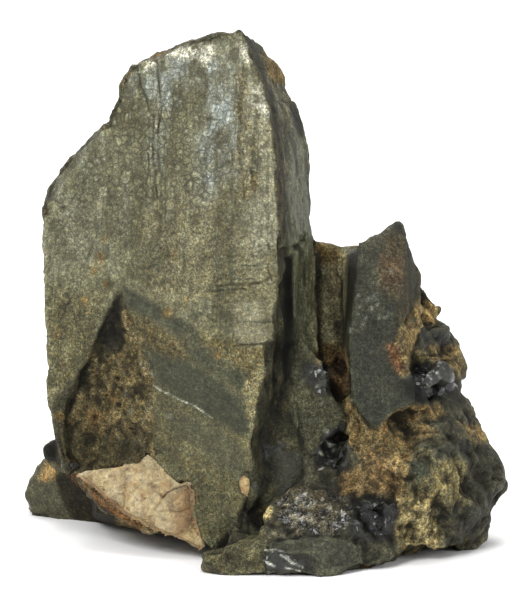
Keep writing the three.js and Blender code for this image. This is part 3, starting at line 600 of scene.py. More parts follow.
# the broad face: low uneven swells, pits, cracks
fx, fy = x * GRID, y * GRID
h += on_face * (0.035 * vnoise(np.stack([fx / 0.7, fy / 2.6, 0 * fx], 1), 73) + 0.03 * vnoise(np.stack([fx / 2.2, fy / 0.6, 0 * fx], 1), 74) * step(y, 40, 220))
pd, pid = cells(xw * GRID, yw * GRID, 1.05, 81, 0.55)
pits = bell(pd, 0.24) * (pid < 0.8)
smooth_part = np.clip(0.8 * slate + 0.7 * soft(PATCH, x, y, 4) + 0.5 * slate_low, 0, 1)
h -= on_face * 0.09 * pits * (1 - smooth_part)
h += on_face * 0.045 * np.clip(f1, -2, 1) * (1 - smooth_part)
broken = step(fbm(V, 1.3, 141, 2), -0.28, 0.12)
crack_mask = np.zeros(len(V))
for pts, w, dd in CRACKS:
    b_ = bell(seg_dist(pts, x + 0.6 * wob, y + 0.6 * wob2), w * 0.9) * (0.5 + 0.5 * broken)
    crack_mask = np.maximum(crack_mask, b_ * np.clip(dd * 5, 0.3, 0.9))
    h -= front * dd * 0.6 * b_
# each strip between the ladder's cracks stands a little above the next
ladder = np.zeros(len(V))
for ly, xa, xb in LADDER:
    dl = seg_dist([(xa, ly + 1), ((xa + xb) / 2, ly - 0.5), (xb, ly + 0.5)], x, y + 0.7 * wob)
    ladder = np.maximum(ladder, bell(dl, 0.6) * (0.25 + 0.75 * step(fbm(V + ly, 0.9, 143, 2), -0.2, 0.2)))
    h += on_face * 0.04 * bell(seg_dist([(xa, ly + 3), (xb, ly + 2.6)], x, y + 0.7 * wob), 1.3)
h -= on_face * 0.06 * ladder
for i, (pts, w) in enumerate(SCRATCHES):
    h += on_face * (0.05 if i == 0 else -0.03) * bell(seg_dist(pts, x, y), w)
rings = np.zeros(len(V))
holes = np.zeros(len(V))
for px, py, r, k in RING_PITS:
    d = np.hypot(x - px + 0.5 * wob, (y - py + 0.5 * wob2) * 1.1)
    rings = np.maximum(rings, k * bell(d - r, 1.2) * (0.5 + 0.5 * broken))
    holes = np.maximum(holes, k * bell(d, r * 0.6))
    h += front * k * (0.11 * bell(d - r, 1.3) - 0.22 * bell(d, r * 0.6))
for px, py, r in CELL_PITS:
    d = np.hypot(x - px + 0.4 * wob, (y - py + 0.4 * wob2) * 1.1)
    h += on_face * (0.05 * bell(d, r * 0.7) - 0.04 * bell(d - r, 1.0))
h += v_area * (0.09 * f1 + 0.10 * f2 + 0.05 * f0 + 0.04 * mid)
h -= front * 0.14 * bell(seg_dist([(119, 320), (117, 326), (116, 332)], xw, yw), 4)
h += front * 0.15 * bell(seg_dist(V_RIGHT, xw + 3, yw), 2.5)
# rims of the broad face
rim_l = step(-seg_dist(RIM_L, xw, yw), -5.0, -3.2) * front
rim_t = step(-seg_dist(RIM_T, xw, yw), -4.5, -2.8) * front
h -= np.clip(rim_l + rim_t, 0, 1) * (0.06 + 0.08 * np.clip(f1, -0.5, 2))
# scalloped right edge
edge_r = bell(seg_dist(EDGE_R, x, y), 3.0) * seen
h -= edge_r * (0.02 + 0.10 * np.clip(f1, -1, 2))
# nibbled edges
nib = step(ridge_s, 0.35, 1.2) * (1 - near_feld)
h -= nib * (-0.03 + 0.09 * np.clip(f1 + mid, -0.5, 2.0)) * np.clip(crystal + 0.3, 0, 1)
h += step(-ridge_s, 0.4, 1.2) * 0.05
h += near_feld * (0.26 + 0.05 * mid)
near_grain = bell(np.hypot(x - 246, (y - 484) * 0.6), 8.0) * seen
h += near_grain * (0.08 + 0.05 * mid)
swirl = np.zeros(len(V))
for pts, w in SWIRL:
    b_ = bell(seg_dist(pts, xw, yw), w * 0.75) * seen * (1 - front) * (0.3 + 0.7 * broken)
    swirl = np.maximum(swirl, b_)
h -= 0.15 * swirl
h = np.clip(h, -1.4, 0.75)
h = np.maximum(h, -0.12 - 1.4 * (1 - bell(np.hypot(x - 60, (y - 428) * 0.6), 14)))

P = S + nrm * h[:, None]
# a rest on the same flat face as the solid
on_base = V[:, 2] < 0.02
P[on_base, 2] = 0.0
P[on_base, :2] = V[on_base, :2]
P[:, 2] = np.maximum(P[:, 2], 0.0)

# crust and colour ----------------------------------------------------------------------------------------
n2 = normals(P, T)
lap2 = ((P - average(P, e)) * n2).sum(1)
hollow = lap2.copy()
for _ in range(2):
    hollow = 0.5 * hollow + 0.5 * average(hollow, e)
hollow = np.clip(-hollow / 0.03, -1.5, 1.5)
# how far each point was pushed in or out, spread over a few millimetres: hollows are painted darker as shade
wide_h = ((P - S) * nrm).sum(1)
for _ in range(12):
    wide_h = 0.4 * wide_h + 0.6 * average(wide_h, e)

G = 0.50  # share of the light that comes back from the lit faces
WARM = np.array([1.0, 0.985, 0.86])
tone = np.zeros((len(V), 3))
surf = np.zeros((len(V), 3))  # roughness, ochre grains, bump
aux = np.zeros((len(V), 3))  # pale specks, striae, crackle


def paint(mask, col, rough_=None, grains=None, bump=None, pale=None, lines=None, crackle=None):
    global tone, surf, aux
    m = np.clip(mask, 0, 1)[:, None]
    if col is not None:
        tone = tone * (1 - m) + m * np.array(col) * WARM * G
    for A, ch, v in ((surf, 0, rough_), (surf, 1, grains), (surf, 2, bump), (aux, 0, pale), (aux, 1, lines), (aux, 2, crackle)):
        if v is not None:
            A[:, ch] = A[:, ch] * (1 - m[:, 0]) + m[:, 0] * v


def spot(px, py, r, squash=1.0):
    return bell(np.hypot(xw - px, (yw - py) * squash), r)


one = np.ones(len(V))
DARK, BLACK, OCH, OLIVE, SLATE_C = (0.068, 0.065, 0.043), (0.024, 0.024, 0.016), (0.25, 0.18, 0.078), (0.256, 0.250, 0.160), (0.106, 0.109, 0.068)
paint(one, DARK, 0.55, 0.25, 0.8, 0.12, 0.0, 0.2)
# unseen surfaces: crystal faces above, broken dark mass below, crust in the hollows
crust = step(low + 0.5 * mid + 0.25 * hollow, 0.02, 0.30)
hid_r, hid_c = (1 - seen) * rough, (1 - seen) * crystal
paint(hid_r * step(id2, 0.34, 0.40), (0.098, 0.094, 0.062), 0.6, 0.3)
paint(hid_r * crust, OCH, 0.85, 0.75, 1.0, 0.15, 0, 0.2)
paint(hid_r * step(fbm(V, 3.5, 145, 3), 0.18, 0.32) * (1 - 0.6 * crust), (0.17, 0.155, 0.095), 0.75, 0.5, 1.0, 0.2)
paint(hid_r * step(id2, 0.72, 0.76) * (1 - crust), BLACK, 0.26, 0.05, 0.4, 0.1)
paint(hid_c, (0.165, 0.16, 0.108), 0.5, 0.4, 0.75, 0.15, 0.7, 0.3)
paint(hid_c * step(low - 0.4 * mid, 0.05, 0.3), (0.235, 0.24, 0.19), 0.42, 0.2, 0.6, 0.1, 0.8, 0.25)
paint(hid_c * step(-low + 0.3 * mid + 0.3 * hollow, 0.12, 0.4), (0.19, 0.15, 0.08), 0.75, 0.75, 0.9, 0.15, 0.5, 0.3)
paint(hid_c * step(fbm(V, 2.6, 147, 3), 0.22, 0.4) * 0.8, (0.10, 0.095, 0.06), 0.5, 0.3, 0.8, 0.1, 0.6, 0.3)
paint(hid_c * step(ridge_s, 0.5, 1.4) * 0.6, (0.26, 0.235, 0.15), 0.6, 0.5)
# the broad face
streak = fbm(np.stack([fx * 2.6, fy * 0.28, 0 * fx], 1), 1.6, 183, 4)
paint(front, OLIVE, 0.5, 0.25, 0.5, 0.12, 0.6, 0.40)
paint(front * soft([(96, 150), (150, 120), (160, 200), (150, 250), (90, 250), (60, 250), (60, 190)], xw, yw, 24), (0.222, 0.219, 0.144), 0.5, 0.25)
paint(front * step(x, 165, 235) * step(-y, -260, -180), (0.304, 0.297, 0.205), 0.45, 0.22)
paint(front * soft([(236, 60), (262, 85), (278, 190), (279, 250), (244, 250), (236, 150)], xw, yw, 12), (0.41, 0.40, 0.29), 0.42, 0.28, 0.5, 0.25, 0.7, 0.5)
# painted reflection: the blue-grey sheen patches on the broad face are painted into the colour, with a lower roughness
for poly, k in (([(159, 57), (182, 55), (182, 86), (173, 112), (160, 108)], 1.0), ([(139, 80), (156, 78), (157, 98), (144, 99)], 0.8), ([(127, 74), (138, 72), (137, 92), (127, 96)], 0.6), ([(204, 60), (236, 62), (238, 130), (210, 128), (200, 96)], 0.85),
                ([(204, 122), (238, 124), (236, 170), (208, 180), (200, 150)], 1.0), ([(198, 172), (222, 170), (216, 206), (196, 204)], 0.6), ([(182, 60), (206, 56), (206, 84), (186, 90)], 0.45), ([(150, 120), (168, 118), (166, 170), (154, 168)], 0.35), ([(222, 40), (238, 38), (246, 60), (226, 62)], 0.4)):
    paint(front * soft(poly, x + 3.2 * wob, y + 3.2 * wob2, 10) * k * (0.75 + 0.9 * mid + 0.4 * fine - 0.5 * np.clip(streak, -0.4, 0.8)), (0.437, 0.49, 0.498), 0.36, 0.06, 0.4, 0.12, 0.6, 0.7)
paint(front * soft([(140, 205), (236, 195), (236, 300), (150, 300)], xw, yw, 20), (0.31, 0.289, 0.182), 0.5, 0.35, 0.65, 0.2, 0.3, 0.25)
paint(front * soft([(100, 102), (150, 92), (214, 90), (224, 150), (206, 218), (160, 214), (92, 186)], xw, yw, 14) * step(fbm(V, 2.6, 187, 2), -0.45, 0.15), None, None, 0.25, 0.5, 0.15, 0.45, 0.95)
for poly in ([(234, 74), (244, 72), (248, 120), (243, 165), (236, 165), (236, 110)], [(247, 138), (257, 142), (254, 170), (261, 194), (251, 196)], [(266, 244), (274, 246), (275, 300), (268, 300)], [(237, 165), (244, 166), (248, 200), (241, 200)]):
    paint(front * soft(poly, x + 3.0 * wob, y + 2.0 * wob2, 6) * (0.5 + 1.0 * mid + 0.7 * np.clip(streak, -0.5, 0.8)), (0.235, 0.18, 0.085), 0.65, 0.6, 0.9, 0.2, 0.9)
paint(front * soft([(48, 290), (104, 296), (96, 352), (76, 378), (56, 412), (46, 380)], xw, yw, 12), (0.22, 0.207, 0.12), 0.55, 0.45, 0.75, 0.2)
paint(front * soft([(48, 200), (96, 150), (84, 260), (50, 280)], xw, yw, 12) * 0.7, (0.176, 0.177, 0.124), 0.45, 0.25, 0.6, 0.2, 0.1, 0.2)
paint(front * soft([(222, 250), (276, 250), (277, 302), (222, 302)], xw, yw, 8), (0.30, 0.288, 0.182), 0.45, 0.4, 0.6, 0.2, 0.1, 0.2)
paint(front * soft(PATCH, xw, yw, 4), (0.345, 0.329, 0.226), 0.45, 0.3, 0.5, 0.35, 0.0, 0.1)
# drifts of dark and light over the whole face
drift = fbm(np.stack([fx * 1.3, fy * 0.55, 0 * fx], 1), 3.2, 149, 4)
paint(front * step(drift, 0.05, 0.35) * 0.75, (0.15, 0.144, 0.088), 0.55, 0.35)
paint(front * step(-drift, 0.10, 0.40) * 0.5 * step(-y, -300, -240), (0.37, 0.365, 0.27), 0.45, 0.2)
paint(front * step(streak, 0.12, 0.40) * 0.6 * step(-y, -290, -200), (0.13, 0.125, 0.075), 0.55, 0.3)
paint(front * step(-streak, 0.18, 0.45) * 0.35 * step(-y, -290, -200), (0.38, 0.385, 0.31), 0.42, 0.15)
band = 0.5 + 0.5 * vnoise(np.stack([(fx * 0.55 - fy * 0.83) / 0.8, (fx * 0.83 + fy * 0.55) / 6.0, 0 * fx], 1), 91)
paint(slate, SLATE_C, 0.42, 0.25, 0.5, 0.15, 0.1, 0.05)
paint(slate * step(band, 0.5, 0.75), (0.146, 0.14, 0.0864), 0.45, 0.4)
paint(slate * soft([(156, 356), (186, 362), (218, 380), (246, 412), (249, 444), (226, 434), (190, 404), (158, 380)], xw, yw, 4), (0.076, 0.080, 0.050), 0.38, 0.08, 0.35, 0.1)
paint(slate * soft([(122, 284), (150, 296), (168, 314), (186, 330), (176, 334), (146, 316), (126, 304)], xw, yw, 4), (0.090, 0.094, 0.060), 0.4, 0.15, 0.4, 0.1)
paint(slate_low, (0.164, 0.156, 0.0888), 0.45, 0.4, 0.6, 0.3, 0.1, 0.1)
paint(slate_low * step(band, 0.5, 0.8), (0.204, 0.192, 0.108), 0.45, 0.5)
paint(slate_low * soft([(166, 410), (215, 424), (248, 452), (248, 486), (205, 452), (170, 430)], xw, yw, 5) * 0.8, (0.124, 0.124, 0.0759), 0.4, 0.2, 0.4, 0.25)
paint(front * soft([(200, 330), (236, 346), (264, 350), (262, 378), (236, 366), (206, 344)], xw, yw, 8) * 0.9, (0.27, 0.24, 0.128), 0.6, 0.85, 0.9, 0.3)
paint(front * soft([(244, 384), (262, 362), (258, 412), (255, 440), (250, 446), (248, 410)], xw, yw, 4) * (0.8 + 0.6 * fine), (0.46, 0.425, 0.25), 0.6, 0.85, 0.9, 1.0)
paint(front * soft([(210, 525), (240, 512), (236, 525), (212, 553), (204, 553)], xw, yw, 5), (0.155, 0.155, 0.0881), 0.4, 0.3, 0.8, 0.35)
# the ochre streaks right of the hollow's tip
vb = soft([(126, 312), (132, 312), (150, 319), (184, 345), (190, 358), (172, 357), (148, 348), (134, 338)], xw, yw, 4)
paint(front * vb, (0.205, 0.175, 0.095), 0.6, 0.45, 0.7, 0.15, 0.3)
paint(front * vb * step(band, 0.35, 0.6) * 0.7, (0.12, 0.10, 0.055), 0.6, 0.5)
# the wedge-shaped hollow
paint(v_area, (0.225, 0.182, 0.095), 0.7, 0.5, 1.0, 0.25, 0.0, 0.35)
paint(v_area * step(fbm(V, 0.8, 151, 3), 0.02, 0.22), (0.114, 0.096, 0.048), 0.6, 0.5, 1.0)
paint(v_area * step(fbm(V, 0.9, 153, 3), 0.20, 0.36), (0.319, 0.259, 0.132), 0.75, 0.6, 1.0, 0.5)
# painted shade: the hollows inside the wedge-shaped hollow darkened
paint(v_area * step(hollow, 0.3, 0.9) * 0.8, (0.06, 0.05, 0.028), 0.5, 0.3, 0.8)
paint(v_area * soft([(101, 338), (113, 332), (118, 342), (114, 354), (103, 352)], xw, yw, 4) * 0.85, (0.058, 0.058, 0.046), 0.5, 0.2, 0.7, 0.1)
paint(front * soft([(58, 432), (140, 440), (150, 452), (140, 464), (110, 466), (60, 474)], xw, yw, 6) * 0.85, (0.078, 0.070, 0.038), 0.6, 0.55, 0.9, 0.25)
# painted shade: this line and the two after it darken the hollow along its left edge and top, below the step from the
# broad face
paint(v_area * bell(seg_dist([(px + 6, py + 4) for px, py in V_LEFT[1:6]], xw, yw), 6) * 0.8 * step(fbm(V, 1.4, 181, 3), -0.25, 0.2), (0.062, 0.060, 0.038), 0.55, 0.3, 0.9)
paint(v_area * bell(seg_dist([(118, 300), (114, 316), (106, 334)], xw, yw), 6) * 0.85, (0.034, 0.033, 0.022), 0.5, 0.1, 0.6)
paint(front * soft([(113, 297), (118, 290), (121, 298), (118, 308), (104, 336), (100, 338)], xw, yw, 2) * 0.6, (0.04, 0.038, 0.026), 0.5, 0.2)
paint(front * bell(seg_dist([(116, 308), (108, 326), (99, 344)], xw, yw), 1.4) * 0.7, (0.17, 0.16, 0.105), 0.5, 0.2)
for poly in ([(57, 410), (62, 412), (84, 380), (79, 376)], [(68, 412), (74, 412), (80, 392), (93, 382), (84, 380), (74, 392)]):
    paint(front * soft(poly, x + 0.6 * wob, y + 0.6 * wob2, 3) * 0.5, (0.03, 0.029, 0.02), 0.5, 0.05)
# painted shade: the top of the wedge-shaped hollow painted near-black
paint(front * soft([(118, 296), (124, 312), (127, 330), (120, 344), (106, 348), (102, 336), (110, 318)], x + wob, y + wob2, 6) * (0.95 + 0.6 * mid), (0.009, 0.008, 0.005), 0.7, 0.15, 0.6, 0.1, 0.0, 0.0)
paint(seen * soft([(44, 424), (54, 410), (64, 396), (72, 390), (66, 430), (68, 474), (58, 484), (50, 452)], xw, yw, 6) * 0.9, (0.06, 0.056, 0.034), 0.6, 0.5, 0.9, 0.15)
# painted shade: a dark band along the step at the hollow's left edge
paint(front * bell(seg_dist([(110, 312), (98, 334), (84, 360), (70, 386), (56, 408)], xw, yw), 4.5) * (0.55 + 0.5 * broken), (0.034, 0.033, 0.021), 0.5, 0.2)
paint(front * spot(60, 416, 4), (0.24, 0.15, 0.05), 0.8, 0.8)
paint(front * bell(seg_dist([(125, 313), (131, 330), (137, 350), (142, 364), (150, 376), (152, 400), (150, 430)], xw, yw), 2.6) * 0.8 * (0.5 + 0.8 * broken), (0.30, 0.25, 0.14), 0.7, 0.85, 0.9, 0.7)
paint(front * rings * 0.85, (0.33, 0.24, 0.10), 0.7)
paint(front * spot(96, 417, 8) * 0.7, (0.33, 0.19, 0.06), 0.75, 0.6)
paint(front * spot(113, 400, 6) * 0.6, (0.30, 0.17, 0.055), 0.75, 0.6)
paint(front * spot(128, 321, 4) * 0.8, (0.30, 0.22, 0.10), 0.75, 0.6)
paint(front * holes, (0.02, 0.016, 0.01))
for px, py, r in PALE_SPOTS:
    paint(front * spot(px, py, r) * 0.75, (0.33, 0.32, 0.24), 0.6, 0.2)
# lines
paint(front * crack_mask * 0.85, (0.036, 0.032, 0.021))
paint(on_face * 0.45 * ladder, (0.06, 0.055, 0.036))
for i, (pts, w) in enumerate(SCRATCHES):
    paint(on_face * ((0.35 + 0.55 * step(mid + 1.2 * fine, -0.35, 0.15)) if i == 0 else 0.3) * bell(seg_dist(pts, x + 0.3 * wob, y + 0.3 * wob2), w * 0.5), (0.80, 0.80, 0.68) if i == 0 else (0.24, 0.235, 0.17), None, 0.05)
for px, py, r in ((100, 258, 5), (94, 270, 4), (105, 238, 3.5), (168, 312, 5), (58, 334, 4.5), (172, 255, 3.5), (84, 300, 4), (218, 356, 4), (106, 285, 3.5), (186, 300, 3)):
    paint(front * spot(px, py, r) * 0.75, (0.30, 0.205, 0.085), 0.75, 0.9)
for px, py, r in CELL_PITS:
    d = np.hypot(x - px + 0.4 * wob, (y - py + 0.4 * wob2) * 1.1)
    paint(on_face * 0.75 * bell(d, r * 0.75), (0.38, 0.375, 0.30))
    paint(on_face * 0.45 * bell(d - r, 0.9), (0.09, 0.085, 0.055))
# painted highlights: white glints along the top rim painted into the colour
for poly in ([(136, 66), (141, 57), (152, 53), (159, 57), (157, 66), (148, 71), (137, 72)], [(164, 54), (178, 49), (200, 45), (216, 44), (214, 54), (206, 66), (196, 58), (176, 60)], [(253, 88), (260, 88), (269, 106), (271, 118), (264, 118), (256, 106)], [(240, 44), (245, 46), (250, 58), (249, 64), (243, 60)]):
    paint(front * soft(poly, xw, yw, 4) * step(fine + 0.7 * mid, -0.45, 0.05) * 0.92, (0.95, 0.93, 0.82), 0.5, 0.1, 0.8, 1.0)
# the dark, brown and torn rims
paint(rim_l, (0.0553, 0.052, 0.0325), 0.5, 0.5, 0.9, 0.15)
paint(rim_l * step(mid + fine, 0.1, 0.4) * 0.7, (0.20, 0.19, 0.12))
paint(rim_t, (0.0553, 0.0488, 0.0292), 0.6, 0.7, 0.9, 0.25)
paint(rim_t * step(mid + fine, 0.15, 0.45) * 0.7, (0.22, 0.19, 0.11))
paint(front * soft([(150, 42), (166, 40), (180, 42), (180, 48), (168, 52), (160, 56), (154, 62), (150, 56)], xw, yw, 3) * 0.9, (0.22, 0.145, 0.06), 0.7, 0.7)
paint(front * soft([(213, 36), (222, 34), (228, 40), (222, 46), (214, 44)], xw, yw, 3) * 0.8, (0.14, 0.14, 0.095), 0.5, 0.3)
# the side of the tabular crystal
paint(side, (0.143, 0.136, 0.081), 0.6, 0.45, 0.9, 0.3, 1.0, 0.2)
paint(side * step(stria + 0.6 * mid, 0.1, 0.6) * 0.8, (0.254, 0.247, 0.179), 0.5, 0.3)
paint(side * step(-stria + 0.8 * mid, 0.3, 0.8) * 0.8, (0.052, 0.0494, 0.0312), 0.5, 0.2)
paint(side * step(fbm(V, 1.2, 171, 3), 0.05, 0.2) * 0.6, (0.0585, 0.0559, 0.0364), 0.55, 0.3)
paint(side * soft([(254, 52), (262, 56), (276, 76), (290, 106), (300, 140), (294, 140), (278, 108), (264, 80)], xw, yw, 4) * 0.6 * (0.6 + 0.8 * mid + 0.5 * stria), (0.389, 0.381, 0.287), 0.5, 0.4, 0.9, 0.4, 0.9)
low_side = soft([(290, 136), (304, 134), (312, 200), (314, 240), (287, 246), (288, 190)], xw, yw, 6)
paint(side * low_side, (0.218, 0.229, 0.161), 0.42, 0.2, 0.55, 0.2, 0.8, 0.1)
paint(side * low_side * step(-stria - 0.5 * mid, 0.35, 0.9) * 0.85, (0.065, 0.065, 0.042), 0.5, 0.2)
paint(side * soft([(290, 103), (300, 105), (303, 118), (306, 138), (300, 136), (291, 116)], xw, yw, 3), (0.028, 0.028, 0.02), 0.5, 0.1, 0.8, 0.2)
paint(seen * (1 - on_face) * bell(seg_dist(EDGE_S, xw, yw), 3.2) * 0.85, (0.034, 0.032, 0.02), 0.6, 0.3, 0.9)
paint(side * bell(seg_dist(EDGE_R[8:16], xw - 3, yw), 2.6) * 0.7 * broken, (0.12, 0.095, 0.045), 0.7, 0.6)
paint(seen * soft([(264, 48), (272, 54), (280, 64), (287, 74), (284, 88), (278, 80), (272, 66), (264, 56)], xw, yw, 3) * 0.8, (0.319, 0.252, 0.104), 0.8, 0.8)
paint(edge_r * (1 - on_face) * 0.75, (0.0585, 0.0546, 0.0338), 0.55, 0.5)
paint(side * soft([(276, 250), (280, 230), (284, 246), (284, 256)], x, y, 3) * 0.5, (0.03, 0.03, 0.02))
paint(side_low, (0.0528, 0.0513, 0.0296), 0.5, 0.3, 0.85, 0.12, 0.4, 0.1)
paint(side_low * step(fbm(V, 0.8, 155, 3), 0.0, 0.25) * 0.8, (0.0837, 0.0783, 0.0459), 0.6, 0.5)
paint(side_low * step(id1, 0.8, 0.84) * step(y, 400, 420), (0.04, 0.042, 0.034), 0.28, 0.1, 0.5)
# painted shade: the slot beside the tabular crystal's side painted near-black
paint(seen * (1 - front) * soft([(284, 257), (293, 253), (296, 300), (293, 340), (287, 384), (281, 380), (282, 330)], x + 0.5 * wob, y, 3), (0.006, 0.006, 0.004), 0.95, 0.0, 0.2, 0.0, 0.0, 0.0)
paint(panel, (0.168, 0.172, 0.104), 0.5, 0.3, 0.7, 0.1, 1.0, 0.1)
paint(panel * step(-stria - 0.4 * mid, 0.2, 0.8) * 0.8, (0.07, 0.07, 0.0448), 0.5, 0.2)
paint(seen * (1 - front) * soft([(287, 228), (314, 228), (314, 252), (304, 258), (290, 252)], xw, yw, 5) * 0.8, (0.185, 0.194, 0.135), 0.42, 0.2, 0.6, 0.1, 1.0)
for pts, w, col in LIGHT_LINES:
    paint(seen * 0.75 * bell(seg_dist(pts, x, y), w * 0.8) * (0.4 + 0.6 * broken), tuple(1.25 * v for v in col))
paint(seen * soft([(276, 455), (300, 452), (303, 486), (286, 492), (274, 488)], xw, yw, 4), (0.040, 0.042, 0.029), 0.38, 0.15, 0.5, 0.12)
paint(recess, (0.34, 0.315, 0.195), 0.75, 0.15, 0.7, 0.1, 0.2, 0.1)
paint(recess * step(mid + 0.6 * low, 0.05, 0.45) * 0.7, (0.273, 0.28, 0.17), 0.6, 0.15)
paint(recess * step(fine + mid, 0.25, 0.6) * 0.4, (0.324, 0.24, 0.12), 0.8, 0.3)
paint(recess * soft([(324, 262), (345, 262), (344, 300), (330, 300)], xw, yw, 5) * 0.5, (0.245, 0.187, 0.106), 0.7, 0.2)
paint(recess * bell(seg_dist([(317, 252), (318, 290), (316, 330), (320, 352)], xw, yw), 4) * 0.4, (0.22, 0.18, 0.11), 0.7, 0.3)
paint(inner, (0.101, 0.101, 0.0644), 0.5, 0.35, 0.75, 0.15, 0.5, 0.15)
paint(inner * step(mid, 0.0, 0.3) * 0.5, (0.138, 0.138, 0.0897))
paint(inner * soft([(300, 364), (316, 362), (330, 384), (320, 394), (308, 384)], xw, yw, 4) * 0.8, (0.04, 0.041, 0.03), 0.35, 0.1, 0.6, 0.2)
# the pointed crystal
paint(point, (0.050, 0.054, 0.040), 0.45, 0.15, 0.6, 0.15, 0.4, 0.1)
paint(point * step(low + mid, 0.0, 0.4) * 0.5, (0.070, 0.071, 0.050))
paint(point * step(-y, -310, -250), (0.080, 0.079, 0.057), 0.45, 0.25)
paint(point_r, (0.060, 0.055, 0.031), 0.55, 0.35, 0.7, 0.15, 0.4, 0.1)
# painted shade: the narrow left facet of the pointed crystal, turned away from the light, painted near-black
paint(point_l, (0.018, 0.018, 0.012), 0.5, 0.05, 0.4)
paint(seen * soft(BROWN_UP, xw, yw, 6) * np.clip(point + point_r, 0, 1), (0.125, 0.100, 0.06), 0.7, 0.12, 0.8, 0.1, 0.2, 0.3)
paint(seen * soft([(382, 258), (394, 254), (402, 262), (402, 282), (394, 286), (384, 280)], xw, yw, 6) * 0.7, (0.155, 0.098, 0.055), 0.75, 0.15)
paint(seen * soft([(403, 232), (412, 244), (422, 266), (424, 290), (414, 296), (406, 262)], x, y, 3) * 0.8, (0.062, 0.058, 0.036), 0.5, 0.2, 0.8)
# painted glints: pale bluish dots of glitter on the pointed crystal
for px, py in ((357, 297), (363, 300), (360, 306), (369, 299), (371, 309), (358, 314), (378, 304), (366, 318), (386, 317), (363, 325), (350, 330), (374, 297), (391, 271), (379, 318)):
    paint(point * bell(np.hypot(x - px, (y - py) * 0.8), 1.1 + 0.8 * ((px * 7 + py) % 3) / 2) * 0.8, (0.36, 0.37, 0.33), 0.4, 0.05)
paint(seen * soft([(391, 219), (399, 217), (404, 235), (396, 232)], x, y, 2), (0.03, 0.03, 0.022), 0.4, 0.1)
paint(seen * soft([(343, 352), (346, 350), (347, 392), (343, 390)], x, y, 1.5) * 0.8, (0.28, 0.20, 0.11), 0.8, 0.6)
# base
lr = rough * seen * soft(LOWER_R, xw, yw, 6)
paint(lr, (0.128, 0.121, 0.0727), 0.6, 0.45, 0.95, 0.25, 0.2, 0.2)
paint(lr * step(id2, 0.55, 0.58), (0.040, 0.040, 0.026), 0.45, 0.25, 0.9)
paint(lr * step(id1, 0.72, 0.75) * 0.8, (0.236, 0.218, 0.136), 0.6, 0.4, 0.9)
paint(lr * step(fbm(V, 1.2, 157, 3), 0.1, 0.3) * 0.8, (0.17, 0.155, 0.09), 0.7, 0.6)
paint(seen * rough * soft([(462, 430), (480, 440), (504, 462), (508, 492), (492, 528), (476, 548), (448, 550), (452, 518), (470, 500), (472, 470), (464, 450)], xw, yw, 5) * 0.85, (0.042, 0.041, 0.028), 0.5, 0.25, 0.9, 0.2)
paint(seen * soft(TAN, xw, yw, 7) * 0.9, (0.27, 0.237, 0.121), 0.75, 0.75, 0.9, 0.4)
paint(seen * soft(TAN, xw, yw, 5) * step(-mid + fine, 0.1, 0.4) * 0.7, (0.11, 0.10, 0.06), 0.7, 0.5)
paint(seen * soft([(412, 464), (426, 460), (430, 474), (420, 484), (412, 478)], xw, yw, 4), (0.05, 0.055, 0.038), 0.4, 0.1)
paint(seen * rough * soft([(392, 418), (420, 424), (448, 434), (476, 452), (470, 460), (440, 450), (410, 444), (394, 436)], xw, yw, 5) * 0.8, (0.055, 0.052, 0.033), 0.5, 0.3)
paint(seen * rough * soft([(388, 426), (402, 426), (420, 428), (414, 434), (396, 433)], xw, yw, 3) * 0.8, (0.05, 0.055, 0.035), 0.5, 0.2)
paint(seen * rough * soft([(428, 452), (452, 440), (474, 448), (462, 456), (440, 462)], xw, yw, 3) * 0.7, (0.035, 0.037, 0.029), 0.35, 0.1, 0.6, 0.3)
paint(seen * soft(ROUGH_1, xw, yw, 5), (0.065, 0.0624, 0.0416), 0.45, 0.3, 0.9, 0.2)
paint(seen * rough * soft([(414, 330), (440, 328), (452, 336), (458, 356), (462, 376), (446, 372), (430, 366), (416, 352)], xw, yw, 5), (0.048, 0.047, 0.031), 0.4, 0.25, 0.9, 0.2)
paint(seen * rough * soft([(408, 352), (424, 350), (440, 356), (450, 352), (462, 360), (462, 376), (450, 374), (434, 360), (418, 362)], xw, yw, 4) * 0.9, (0.354, 0.312, 0.177), 0.75, 0.6)
paint(foot, (0.173, 0.166, 0.0979), 0.55, 0.5, 0.85, 0.25)
paint(foot * step(mid + fine, 0.1, 0.4) * 0.6, (0.075, 0.073, 0.045), 0.5, 0.3)
paint(lens, (0.078, 0.079, 0.056), 0.42, 0.2, 0.6, 0.2, 0.3, 0.1)
paint(lens * step(mid + 0.5 * low, 0.1, 0.4) * 0.6, (0.10, 0.10, 0.072))
paint(seen * soft([(284, 558), (300, 552), (318, 558), (312, 570), (290, 570)], xw, yw, 3) * 0.8, (0.02, 0.02, 0.014), 0.25, 0.05)
paint(seen * bell(seg_dist([(268, 540), (290, 532), (320, 531), (346, 538), (362, 548)], xw, yw), 2.0) * (0.4 + 0.6 * broken) * 0.8, (0.19, 0.18, 0.13), 0.5, 0.3)
paint(seen * soft([(350, 540), (384, 538), (398, 548), (384, 562), (366, 570), (360, 552)], xw, yw, 4) * 0.8, (0.06, 0.06, 0.04), 0.5, 0.3, 0.8, 0.2)
